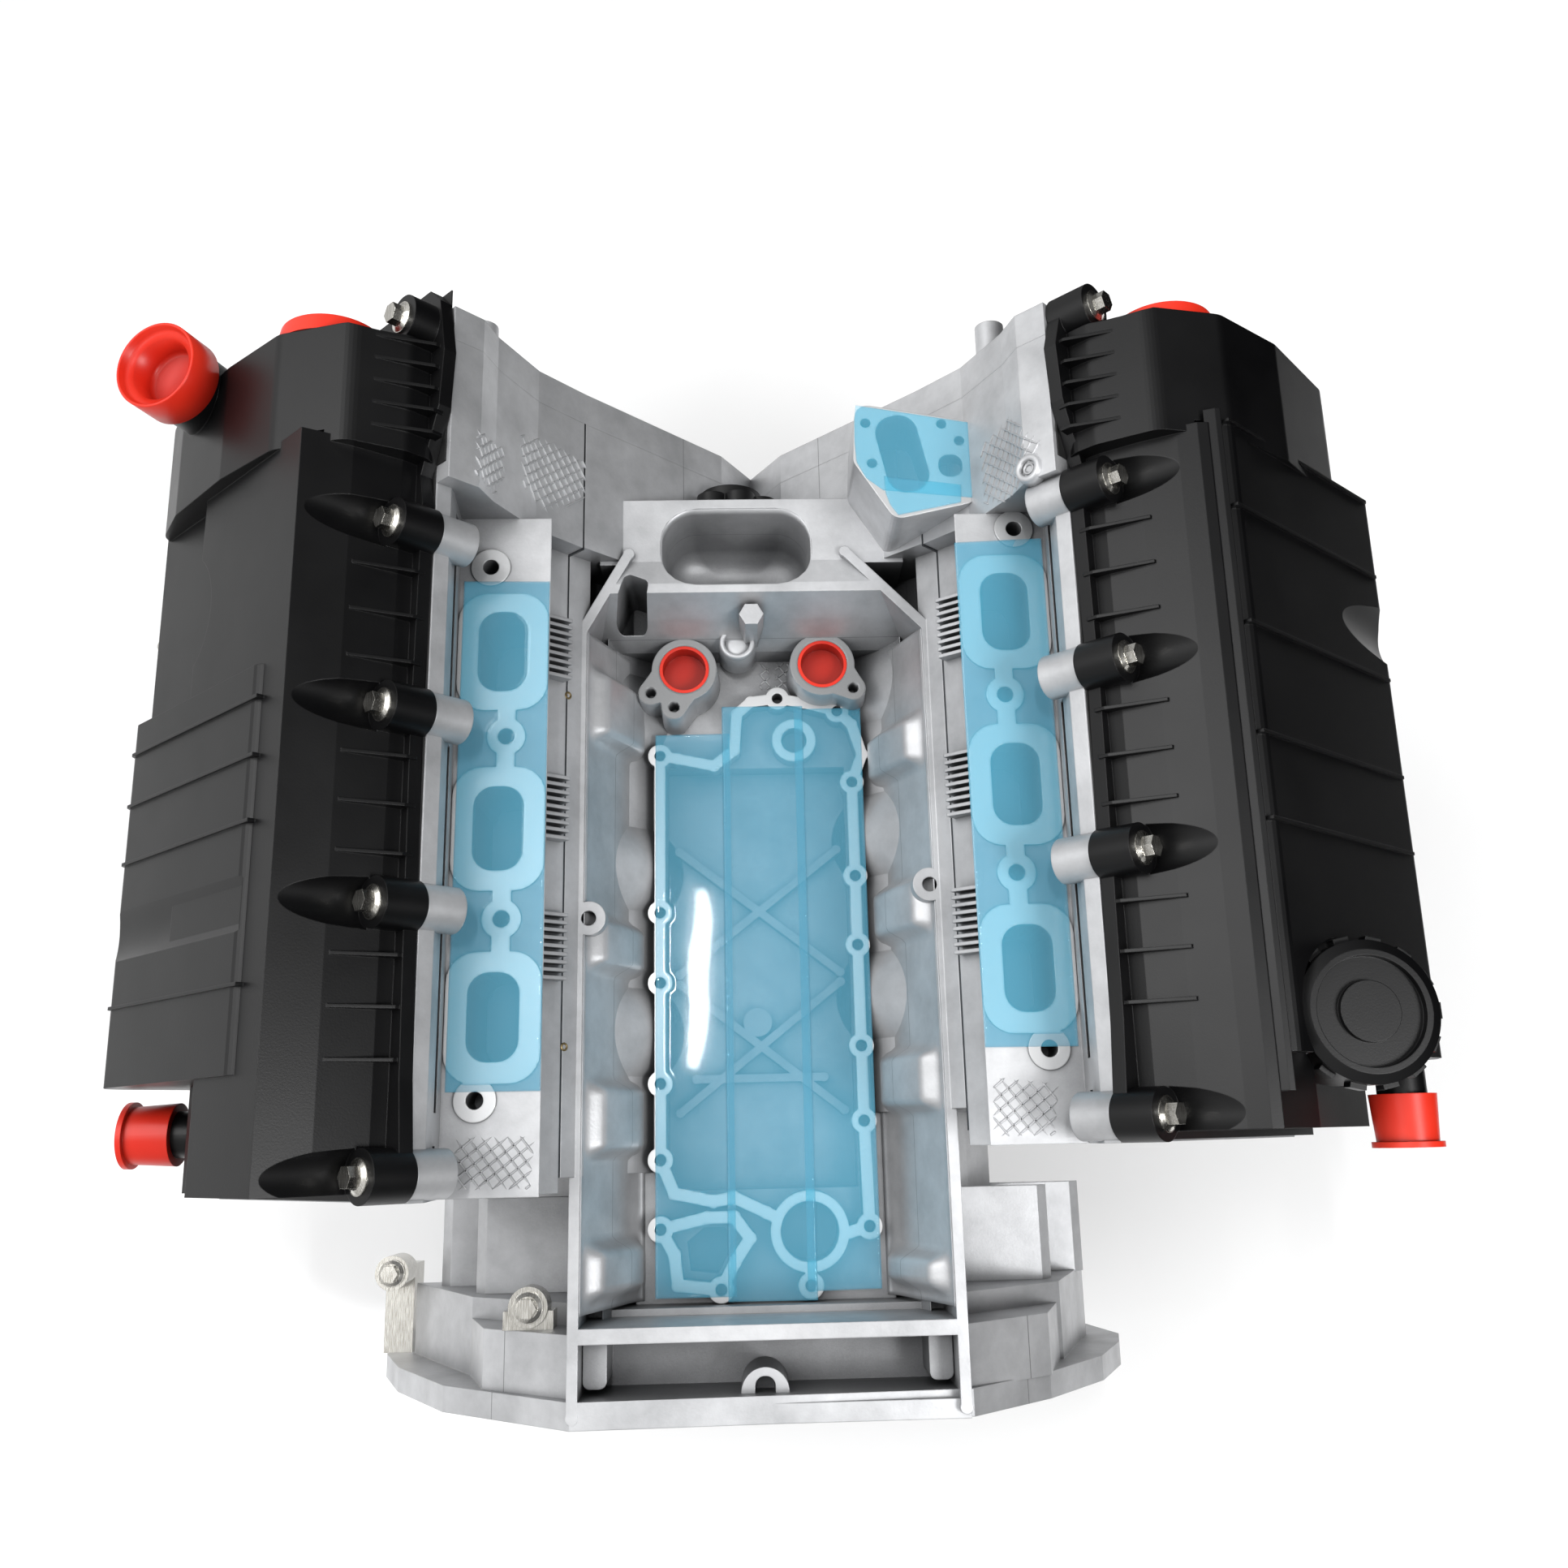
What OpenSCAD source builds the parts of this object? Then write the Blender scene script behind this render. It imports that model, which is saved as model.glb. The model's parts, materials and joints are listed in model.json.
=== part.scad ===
// Ninety degree V-six engine, long-block form: aluminium block and heads, black cam covers.
// Frame: the crank axis is Y and the flywheel flange face is y = 0; +Y is the engine's front,
// +Z is up and -X is the left bank. Positions along a bank are measured from its middle cylinder.
// On a bank, local X is across (towards the valley), Y is along and Z is the cylinder axis.

/* [Cylinders and crank] */
// Bore of each cylinder
bore_d = 84.5; // [83:0.5:86]
// Stroke of each piston
stroke = 89; // [86:0.5:90]
// Spacing of the cylinders along a bank
cyl_pitch = 100; // [99:0.5:102]
// How far the right bank sits ahead of the left one
bank_offset = 19.75; // [19.5:0.05:20]
// Crank axis to the deck of the block
deck_h = 225; // [224:0.5:228]
// Flywheel flange face to the left middle cylinder
mid_y = 326; // [325:1:330]
// Crank main journal diameter
main_d = 67; // [64:0.5:68]
// Crank pin diameter
pin_d = 54; // [52:0.5:56]
// Reach of the crank counterweights from the crank axis
web_r = 78; // [75:0.5:78]
// Turn of the first crank throw at rest, in degrees
crank_rest = 20; // [0:5:60]
// Crown of the piston above its pin
crown_h = 29; // [28:0.5:30]
// Piston pin diameter
gudgeon_d = 22; // [20:0.5:23]
// Liner wall
liner_wall = 3; // [2.5:0.25:3.5]

/* [Heads and valves] */
// Top of the deck to the cover joint
head_h = 108.8; // [108:0.4:112]
// Thickness of the head gasket
gasket_t = 1.2; // [0.8:0.1:1.6]
// Cam axis from the bank's middle plane
cam_v = 44; // [43:0.5:45]
// Cam axis above the cover joint
cam_rise = 3; // [2:0.5:4]
// Base circle diameter of a cam lobe
lobe_base_d = 32; // [30:0.5:33]
// Lift of a cam lobe
lobe_lift = 9.5; // [8:0.5:10]
// Intake port face, height above the crank axis
port_face_z = 260.2; // [259:0.2:262]
// Intake port centre from the crank axis, sideways
port_face_x = 140; // [139:0.5:141]
// Intake port opening across the engine
port_w = 27; // [25:0.5:28]
// Intake port opening along the engine
port_l = 46; // [44:0.5:47]
// Bucket tappet diameter
tappet_d = 30; // [28:0.5:31]

/* [Cam covers] */
// Wall of a cam cover
cover_wall = 3; // [2.5:0.25:3.5]
// Top of the left cover above its joint
left_cover_h = 69; // [68:0.5:72]
// Top of the right cover above its joint, at its inner edge
right_cover_h = 75; // [74:0.5:78]
// Distance of the cover bolts from the bank's middle plane
bolt_v = 91.8; // [91.4:0.1:92]
// Height of the cover bolt bosses above the joint
boss_h = 23.5; // [22:0.5:24]
// Clearance radius for the socket round a cover bolt
well_r = 13.8; // [13:0.2:14.2]
// Hex size of the cover bolts
bolt_af = 10; // [9.5:0.5:10]
// Thread diameter of the cover bolts
bolt_d = 6; // [5.5:0.5:6]

/* [Red transport caps] */
// Diameter of the valley coolant port plugs
valley_plug_d = 31; // [30:0.5:32]
// Diameter of the front cover plugs
front_plug_d = 58; // [56:0.5:58.5]
// Diameter of the oil filler cap
filler_cap_d = 48; // [47:0.5:50]
// Diameter of the spigot caps
spigot_cap_d = 31; // [30:0.5:32]

/* [Block and sump] */
// Valley rail, distance from the middle of the engine
rail_x = 107; // [106:0.5:108]
// Valley rail, height above the crank axis
rail_z = 200; // [199:0.5:201]
// Gasket land of the valley, height above the crank axis
land_z = 140; // [139:0.5:141]
// Sump floor below the crank axis
sump_depth = 200; // [190:1:215]
// Half width of the lower crankcase
case_w = 150; // [148:1:152]
// Front of the heads, ahead of the left middle cylinder
head_front_y = 262; // [260:1:264]
// Rear of the block, behind the left middle cylinder
block_rear_y = 310; // [308:1:312]

/* [Hidden] */
fn_fine = 64;
fn_soft = 32;
bank_angle = 90;
tilt = bank_angle / 2;
run_gap = 0.05;
fit_gap = 0.1;
body_gap = 0.3;
weld = 0.01;
left = -1;
right = 1;
sides = [left, right];
cyls = [1, 0, -1];

throw_r = stroke / 2;
rod_len = deck_h - throw_r - crown_h - 0.5;
bay_half = cyl_pitch / 2;
pair_mid = bank_offset / 2;
joint_u = deck_h + gasket_t + head_h;
cam_u = joint_u + cam_rise;
head_base_u = deck_h + gasket_t;
port_mid = [(port_face_z / cos(tilt) - port_face_x / sin(tilt)) / 2,
    (port_face_z / cos(tilt) + port_face_x / sin(tilt)) / 2];
port_sum = port_mid[0] + port_mid[1];
flange_t = 7.5;
cover_gasket_t = 0.8;
cover_base_u = joint_u + cover_gasket_t;
left_top_u = cover_base_u + left_cover_h - cover_gasket_t;
right_top_u = cover_base_u + right_cover_h - cover_gasket_t;
boss_u = joint_u + boss_h;
cover_bolt_y = [1.5 * cyl_pitch + 1.3, 0.5 * cyl_pitch + 1.3, -0.5 * cyl_pitch + 1.3, -1.77 * cyl_pitch];
front_bolt_y = [270.6, 255];
head_rear_y = -190;
block_front_y = 180;
cover_rear_y = -189;
cover_front_y = [293, 259.5];
dome_rear_y = 190;
dome_front_y = [258, 242.5];

// Geometry helpers

function unit(v) = v / norm(v);

// One corner of an outline, rounded by an arc of radius r in n steps
function corner(a, p, b, r, n) =
    let (u = unit(a - p), v = unit(b - p), half = acos(max(-1, min(1, u * v))) / 2)
    half > 89 ? [p] :
    let (reach = min(r / tan(half), 0.45 * norm(a - p), 0.45 * norm(b - p)), rr = reach * tan(half),
        c = p + unit(u + v) * rr / sin(half), s = p + u * reach - c, e = p + v * reach - c,
        a0 = atan2(s[1], s[0]), turn = atan2(s[0] * e[1] - s[1] * e[0], s * e))
    [for (i = [0:n]) c + rr * [cos(a0 + turn * i / n), sin(a0 + turn * i / n)]];

// An outline with every corner rounded
function rounded(pts, r, n = 5) = let (m = len(pts))
    [for (i = [0:m - 1]) each corner(pts[(i + m - 1) % m], pts[i], pts[(i + 1) % m], r, n)];

// An outline moved inwards by d, for outlines that run counter-clockwise
function inset(pts, d) = let (m = len(pts)) [for (i = [0:m - 1])
    let (a = pts[(i + m - 1) % m], p = pts[i], b = pts[(i + 1) % m], u = unit(p - a), v = unit(b - p),
        nu = [-u[1], u[0]], nv = [-v[1], v[0]])
    p + (nu + nv) * d / (1 + nu * nv)];

function bank_shift(side) = side > 0 ? bank_offset : 0;
function front_i(side) = side > 0 ? 1 : 0;
function bolts_of(side) = concat(cover_bolt_y, [front_bolt_y[front_i(side)]]);

// Places children, drawn in bank coordinates, on the left or right bank
module on_bank(side) {
    translate([0, mid_y + bank_shift(side), 0])
        mirror([side > 0 ? 1 : 0, 0, 0])
            rotate([0, -tilt, 0])
                children();
}

// Places children at the left middle cylinder, upright
module at_mid() {
    translate([0, mid_y, 0]) children();
}

// An outline in the X-Z plane carried from y0 to y1
module prism(pts, y0, y1) {
    translate([0, y1, 0]) rotate([90, 0, 0]) linear_extrude(y1 - y0) polygon(pts);
}

module rod(r, y0, y1, x = 0, z = 0) {
    translate([x, y1, z]) rotate([90, 0, 0]) cylinder(h = y1 - y0, r = r, $fn = fn_fine);
}

// A block between two corners
module slab(lo, hi) {
    translate(lo) cube(hi - lo);
}

// A rounded rectangle, w by l, standing h high
module pad(w, l, h, r) {
    linear_extrude(h) polygon(rounded([[-w / 2, -l / 2], [w / 2, -l / 2], [w / 2, l / 2], [-w / 2, l / 2]], r, 6));
}

// Hex flange bolt: the washer's face is at z = 0 and the shank goes down
module flange_bolt(d, af, shank) {
    translate([0, 0, -shank]) cylinder(h = shank, d = d, $fn = 24);
    cylinder(h = af * 0.12, d = af * 1.75, $fn = fn_soft);
    translate([0, 0, af * 0.12 - weld]) cylinder(h = af * 0.14, d1 = af * 1.65, d2 = af * 1.2, $fn = fn_soft);
    translate([0, 0, af * 0.2]) cylinder(h = af * 0.6, d = af * 1.1547, $fn = 6);
}

// Crank throws and pistons: a throw's two pins are splayed by 30 degrees for even firing
function throw_angle(k) = crank_rest + 120 * (1 - k);
function pin_angle(k, side) = throw_angle(k) - side * 15;
function cyl_phase(k, side) = pin_angle(k, side) - side * tilt;
function piston_pin_u(k, side) = let (a = cyl_phase(k, side))
    throw_r * cos(a) + sqrt(rod_len * rod_len - pow(throw_r * sin(a), 2));
function pair_y(k) = k * cyl_pitch + pair_mid;

main_w = 24;
pin_w = bank_offset - 0.5;
web_t = bay_half - main_w / 2 - bank_offset;
mains = [for (k = [1.5, 0.5, -0.5, -1.5]) k * cyl_pitch + pair_mid];

// One crank web: a disc at the journal, an arm to the pin and a counterweight opposite
module web_shape(arm_r) {
    circle(r = main_d / 2 + 6, $fn = fn_fine);
    translate([0, throw_r]) circle(r = pin_d / 2 + 5, $fn = fn_fine);
    translate([-pin_d / 2 - 2, 0]) square([pin_d + 4, throw_r]);
    intersection() {
        circle(r = web_r, $fn = fn_fine);
        polygon([[0, 12], [-90, -26], [-90, -90], [90, -90], [90, -26]]);
    }
}

module web(k, y0, t) {
    translate([0, y0 + t, 0]) rotate([90, 0, 0]) rotate([0, 0, -throw_angle(k)]) linear_extrude(t) web_shape();
}

module crank_pin(k, side, y0, y1) {
    a = pin_angle(k, side);
    rod(pin_d / 2, y0, y1, throw_r * sin(a), throw_r * cos(a));
}

crank_nose_y = 296;
nose_r = 15.5;

module crankshaft() color("dimgray") difference() {
    union() {
        at_mid() {
            for (y = mains) rod(main_d / 2, y - main_w / 2 - weld, y + main_w / 2 + weld);
            for (k = cyls) {
                y = pair_y(k);
                web(k, y + bank_offset, web_t);
                web(k, y - bank_offset - web_t, web_t);
                rod(main_d / 2 + 2, y - 2, y + 2);
                crank_pin(k, right, y - weld, y + bank_offset + weld);
                crank_pin(k, left, y - bank_offset - weld, y + weld);
            }
            rod(main_d / 2 - 4, mains[0], block_front_y - 2);
            rod(nose_r, block_front_y - 2 - weld, crank_nose_y);
        }
        rod(main_d / 2, flange_len - weld, mid_y + mains[3]);
        rod(flange_r, 0, flange_len);
    }
    for (a = [0:60:300]) rod(flange_hole_r, -1, 25, flange_pcd / 2 * sin(a), flange_pcd / 2 * cos(a));
    rod(pilot_r, -1, pilot_len);
    rod(8, mid_y + crank_nose_y - 30, mid_y + crank_nose_y + 1);
}

flange_r = 46;
flange_len = 9;
flange_pcd = 56;
flange_hole_r = 4.6;
pilot_r = 12;
pilot_len = 15;
hub_r = 30;
hub_len = 22;

// Hub pressed on the crank nose, which turns in the front cover
module crank_hub() color("dimgray") at_mid() difference() {
    y0 = head_front_y + 14;
    union() {
        rod(hub_r, y0, y0 + hub_len - 4);
        rod(hub_r - 5, y0 + hub_len - 4 - weld, y0 + hub_len);
    }
    rod(nose_r + run_gap, y0 - 1, y0 + hub_len + 1);
    for (a = [30:120:270]) rod(3.4, y0 + 6, y0 + hub_len + 1, 21 * sin(a), 21 * cos(a));
}

sprocket_y = [206, 218];
cam_teeth = 32;
crank_teeth = 16;
chain_pitch = 8;
function sprocket_r(n) = chain_pitch / (2 * sin(180 / n));

// Toothed disc about Y: a disc with one wedge tooth for each link
module sprocket(n, y0, y1, r) {
    rod(r - 2.5, y0, y1);
    for (i = [0:n - 1]) rotate([0, 360 / n * i, 0])
        prism([[-2, r - 3.5], [2, r - 3.5], [0.8, r + 1.5], [-0.8, r + 1.5]], y0, y1);
}

module crank_sprocket() color("silver") at_mid() difference() {
    union() {
        for (y = sprocket_y) sprocket(crank_teeth, y - 3, y + 3, sprocket_r(crank_teeth));
        rod(18.5, sprocket_y[0] + 2.9, sprocket_y[1] - 2.9);
    }
    rod(nose_r + run_gap, sprocket_y[0] - 20, sprocket_y[1] + 20);
}

module main_bearings() color("tan") at_mid() for (y = mains) difference() {
    rod(main_d / 2 + run_gap + 2.5, y - 10, y + 10);
    rod(main_d / 2 + run_gap, y - 11, y + 11);
    slab([-60, y - 12, -0.02], [60, y + 12, 0.02]);
}

// Piston with three rings and its pin, placed where the crank holds it at rest
module piston(side, k) {
    r = bore_d / 2 - run_gap;
    on_bank(side) translate([0, k * cyl_pitch, piston_pin_u(k, side)]) {
        color("silver") difference() {
            translate([0, 0, -22]) cylinder(h = crown_h + 22, r = r - 0.05, $fn = fn_fine);
            for (i = [0:2]) translate([0, 0, crown_h - 8 - i * 6]) ring_groove(r, ring_h(i));
            translate([0, 0, -23]) cylinder(h = 23 + crown_h - 26, r = r - 6, $fn = fn_fine);
            translate([0, 0, crown_h - 1.2]) cylinder(h = 2, r = 24, $fn = fn_fine);
            for (s = [-1, 1]) {
                slab([-50, s > 0 ? 27 : -50, -23], [50, s > 0 ? 50 : -27, crown_h - 22]);
                translate([s * (cam_v * 0.45), 0, crown_h + 1]) rotate([0, s * 16, 0])
                    for (j = [-18, 18]) translate([0, j, 0]) cylinder(h = 8, r = 16, center = true, $fn = fn_soft);
            }
        }
        color("silver") difference() {
            for (s = [-1, 1]) slab([-16, s * 20 - 6.8, -15], [16, s * 20 + 6.8, crown_h - 26]);
            rod(gudgeon_d / 2 + run_gap, -40, 40);
        }
        color("gray") for (i = [0:2]) translate([0, 0, crown_h - 8 - i * 6]) difference() {
            translate([0, 0, 0.1]) cylinder(h = ring_h(i) - 0.2, r = r, $fn = fn_fine);
            translate([0, 0, -1]) cylinder(h = 6, r = r - 3.2, $fn = fn_fine);
        }
        color("gray") difference() {
            rod(gudgeon_d / 2, -30, 30);
            rod(gudgeon_d / 2 - 5, -31, 31);
        }
    }
}

function ring_h(i) = i == 2 ? 3 : 1.6;

module ring_groove(r, h) {
    difference() {
        cylinder(h = h, r = r + 1, $fn = fn_fine);
        translate([0, 0, -1]) cylinder(h = h + 2, r = r - 3.3, $fn = fn_fine);
    }
}

module cylinder_liners() color("gainsboro") for (side = sides) on_bank(side)
    for (k = cyls) translate([0, k * cyl_pitch, liner_foot_u]) difference() {
        cylinder(h = deck_h - liner_foot_u, d = bore_d + 2 * liner_wall, $fn = fn_fine);
        translate([0, 0, -1]) cylinder(h = deck_h, d = bore_d, $fn = fn_fine);
    }

liner_foot_u = 84;

// Valley of the block, in upright coordinates
land_x = 70;
valley_rear_y = -262;
valley_front_y = 168;
shelf_z = 150;
well_floor_z = 112;
valley_floor_z = 128;

// Cross-section of one bank of the block in bank coordinates
bank_pts = [[-60, 62], [30, 62], [44, 118], [44, 205], [68, 209], [68, deck_h], [-82, deck_h],
    [-82, 205], [-66, 196], [-66, 110], [-80, 96]];

// Outline of the crankcase across the engine
function case_pts() = [[-case_w, 0], [case_w, 0], [case_w, 36], [132, 60], [96, 118], [land_x + 6, 118],
    [-land_x - 6, 118], [-96, 118], [-132, 60], [-case_w, 36]];

bell_pts = [[-250, 0], [237, 0], [228, 36], [203, 92], [160, 146], [109, 192], [-105, 200], [-185, 133], [-228, 60]];

module engine_block() color("lightgray") difference() {
    union() {
        for (side = sides) on_bank(side) {
            prism(bank_pts, -182 + (side > 0 ? 12 : 0), block_front_y + joint_lap - bank_shift(side));
            for (k = cyls) translate([0, k * cyl_pitch, 64])
                cylinder(h = deck_h - 64, d = bore_d + 2 * liner_wall + 12, $fn = fn_fine);
        }
        at_mid() {
            chest_walls();
            prism(case_pts(), -block_rear_y + 8, block_front_y + joint_lap / 2);
            valley();
            rails();
            for (p = coolant_ports) translate([p[0], p[1], land_z - 20]) cylinder(h = port_ring_h + 20, d = 40, $fn = fn_fine);
            bell();
            front_mass();
        }
    }
    block_cuts();
}

// Outline of the chain chest beside one bank, and of the head's front above it
chest_pts = [[-96, 30], [60, 30], [82, 110], [82, deck_h], [-96, deck_h]];
nose_pts = [[-112, -70], [112, -70], [112, 60], [-112, 60]];
head_front_pts = [[-99, head_base_u], [82, head_base_u], [84, 262], [97, 300], [106, 316], [106, joint_u], [-99, joint_u]];
chest_wall = 7;
chest_top_z = 196;
chest_back = 6;
joint_lap = 2;

module both_banks(pts, y0, y1) {
    for (s = sides) mirror([s > 0 ? 1 : 0, 0, 0]) rotate([0, -tilt, 0]) prism(pts, y0, y1);
}

// Walls of the chain chest ahead of the cylinders
module chest_walls() {
    difference() {
        union() {
            both_banks(chest_pts, block_front_y + joint_lap / 4, head_front_y);
            prism(nose_pts, block_front_y, head_front_y);
            slab([-94, block_front_y - joint_lap, 100], [92, pit_front_y + pit_wall, chest_top_z]);
        }
        both_banks(inset(chest_pts, chest_wall), block_front_y + chest_back, head_front_y + 1);
        both_banks([[-89, 180], [75, 180], [75, deck_h + 1], [-89, deck_h + 1]], block_front_y + chest_back, head_front_y + 1);
        prism(inset(nose_pts, chest_wall), block_front_y + chest_back, head_front_y + 1);
        pit();
    }
}

pit_front_y = 215;
pit_rear_y = 163;
pit_floor_z = 108;
pit_wall = 6;

// Deep bay between the valley's front ridge and the thin front wall
module pit() {
    translate([0, 0, pit_floor_z]) linear_extrude(100)
        polygon(rounded([[-57, pit_rear_y], [36, pit_rear_y], [36, pit_front_y], [-57, pit_front_y]], 22));
}

// Gasket land of the valley: the bolt bosses of its left and right sides, from front to rear,
// its front loop, and the wall of the triangular port behind it
land_bolts = [[-61, 72], [-61, -28], [-61, -71], [-61, -131], [-61, -175], [-61, -214],
    [60, 53], [60, -7], [60, -50], [60, -111], [60, -155], [61, -215],
    [-26, -248], [26, -247], [14, 109], [52, 100]];
land_left = [[-61, 72], [-61, -28], [-61, -71], [-61, -131], [-61, -175], [-53, -194], [-30, -199], [-18, -197],
    [1, -206], [24, -218], [46, -219], [61, -215]];
land_right = [[61, -215], [60, -155], [60, -111], [60, -50], [60, -7], [60, 53], [67, 71], [61, 91], [52, 100],
    [30, 106], [14, 109], [-3, 107], [-12, 99], [-14, 75], [-27, 65], [-50, 70], [-61, 72]];
port_wall = [[-61, -214], [-53, -228], [-51, -245], [-26, -248], [-18, -233], [-9, -220], [-18, -208], [-34, -208], [-61, -214]];
front_ring_at = [24, 81];
rear_ring_at = [26, -217];
land_w = 7;
land_boss_r = 7.5;
land_hole_r = 3.4;

// A wall of width w along a line of points, with round joints
module wall_along(pts, w) {
    for (i = [0:len(pts) - 2]) let (d = pts[i + 1] - pts[i])
        translate(pts[i]) rotate(atan2(d[1], d[0])) translate([0, -w / 2]) square([norm(d), w]);
    for (p = pts) translate(p) circle(r = w / 2 + 0.4, $fn = 16);
}

module gasket_land() {
    translate([0, 0, valley_floor_z - 8]) linear_extrude(land_z - valley_floor_z + 8) difference() {
        union() {
            wall_along(land_left, land_w);
            wall_along(land_right, land_w);
            wall_along(port_wall, land_w);
            for (p = land_bolts) translate(p) circle(r = land_boss_r, $fn = fn_soft);
            translate(front_ring_at) circle(r = 14, $fn = fn_fine);
            translate(rear_ring_at) circle(r = 23, $fn = fn_fine);
            translate([26, -240]) square([land_w, 20], center = true);
        }
        for (p = land_bolts) translate(p) circle(r = land_hole_r, $fn = 24);
        translate(front_ring_at) circle(r = 8, $fn = fn_fine);
        translate(rear_ring_at) circle(r = 17, $fn = fn_fine);
    }
}

// Ribs that cross on the floor of the valley's well
module well_ribs() {
    translate([0, 0, well_floor_z - 2]) linear_extrude(9) {
        for (y = [-20, -104]) for (s = sides) wall_along([[s * 50, y + 34], [-s * 50, y - 44]], 5);
        wall_along([[-40, -128], [38, -128]], 5);
        translate([-2, -94]) circle(r = 9, $fn = fn_soft);
    }
}

wall_top_x = 101;
wall_foot_x = 75;

// Floor, end walls and side walls of the valley
module valley() {
    slab([-land_x - 6, valley_rear_y, 100], [land_x + 6, valley_front_y, valley_floor_z]);
    gasket_land();
    prism([[-rail_x, 100], [rail_x, 100], [rail_x, shelf_z], [-rail_x, shelf_z]], -block_rear_y + 4, valley_rear_y + 6);
    prism([[-rail_x, 100], [rail_x, 100], [rail_x, rail_z], [-rail_x, rail_z]], valley_rear_y - 6, valley_rear_y + 2);
    prism([[-rail_x, 100], [rail_x, 100], [rail_x, rail_z - 4], [-rail_x, rail_z - 4]],
        -block_rear_y, -block_rear_y + 10);
    for (s = sides) {
        for (y = [-208:48:80]) wall_rib(s, y);
        prism([[s * wall_foot_x, 110], [s * 92, 110], [s * 92, valley_floor_z + 34]], valley_rear_y, valley_front_y - 20);
    }
    translate([-2, -block_rear_y + 14, 112]) difference() {
        union() {
            cylinder(h = 76, r = 13, $fn = fn_fine);
            translate([-13, -10, 0]) cube([26, 10, 76]);
        }
        translate([0, 0, 60]) pad(11, 17, 30, 5);
    }
    for (x = [-94, 94]) translate([x, -block_rear_y + 30, shelf_z - 1]) pad(13, 26, 32, 4);
}

// Sloping rib from a valley rail to the floor
module wall_rib(s, y) {
    prism([[s * wall_foot_x, valley_floor_z - 6], [s * (rail_x - 2), valley_floor_z - 6], [s * (rail_x - 2), rail_z - 6],
        [s * wall_top_x, rail_z - 6], [s * (wall_foot_x + 4), valley_floor_z + 8]], y - 4, y + 4);
}

// Rim of the valley on both sides, its slanted front ends and its two bolt bosses
module rails() {
    for (s = sides) {
        translate([0, 0, 118]) linear_extrude(rail_z - 118)
            wall_along([[s * (rail_x - rail_w / 2), -block_rear_y + rail_w], [s * (rail_x - rail_w / 2), rail_bend_y],
                [s > 0 ? 56 : -76, block_front_y + 4]], rail_w);
        translate([s * (rail_x - 9), boss_y(s), rail_z - 26]) cylinder(h = 26, d = 19.5, $fn = fn_fine);
        translate([s * (rail_x - 9), boss_y(s), rail_z - 60]) cylinder(h = 34 + weld, r1 = 4, r2 = 9.7, $fn = fn_soft);
    }
}

rail_w = 6;
rail_bend_y = 134;

function boss_y(s) = s > 0 ? -24 : -40;

module bell() {
    prism(bell_pts, -block_rear_y, -block_rear_y + 14);
    for (s = sides) {
        prism([[s * 100, 0], [s * (s > 0 ? 215 : 232), 0], [s * (s > 0 ? 178 : 176), 100], [s * 108, 150]],
            -block_rear_y + 13, -252);
        prism([[s * 100, 100], [s * 176, 100], [s * 160, 150], [s * 106, 190]], -block_rear_y + 13, -264);
        for (z = [24, 78]) prism([[s * 120, z], [s * (225 - z * 0.6), z], [s * (218 - z * 0.6), z + 8], [s * 118, z + 8]],
            -253, -196);
    }
}

// An outline in the Y-Z plane carried from x0 to x1
module across(pts, x0, x1) {
    translate([x0, 0, 0]) rotate([90, 0, 90]) linear_extrude(x1 - x0) polygon(pts);
}

ridge_y = 158;

// Casting that joins the banks at the front: a ridge that slopes down into the valley
module front_mass() {
    difference() {
        intersection() {
            across([[block_front_y, 100], [ridge_y - 20, 100], [ridge_y - 20, 148], [ridge_y - 9, 178], [ridge_y, rail_z],
                [pit_rear_y + 1, rail_z], [block_front_y, rail_z - 4]], -110, 110);
            linear_extrude(220) polygon([[-rail_x + 2, rail_bend_y], [-74, block_front_y + 6], [54, block_front_y + 6], [rail_x - 2, rail_bend_y]]);
        }
        pit();
        translate([-76, ridge_y + 2, 140]) linear_extrude(70) polygon(rounded([[-11, -16], [9, -16], [12, 6], [-2, 12]], 4));
    }
    translate([-2, 146, 140]) cylinder(h = 54, r = 7.5, $fn = 6);
}

coolant_ports = [[-44.5, 122.5], [42.4, 125]];
port_ring_h = 20;

mount_dy = 80;
mount_dz = 20;

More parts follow.
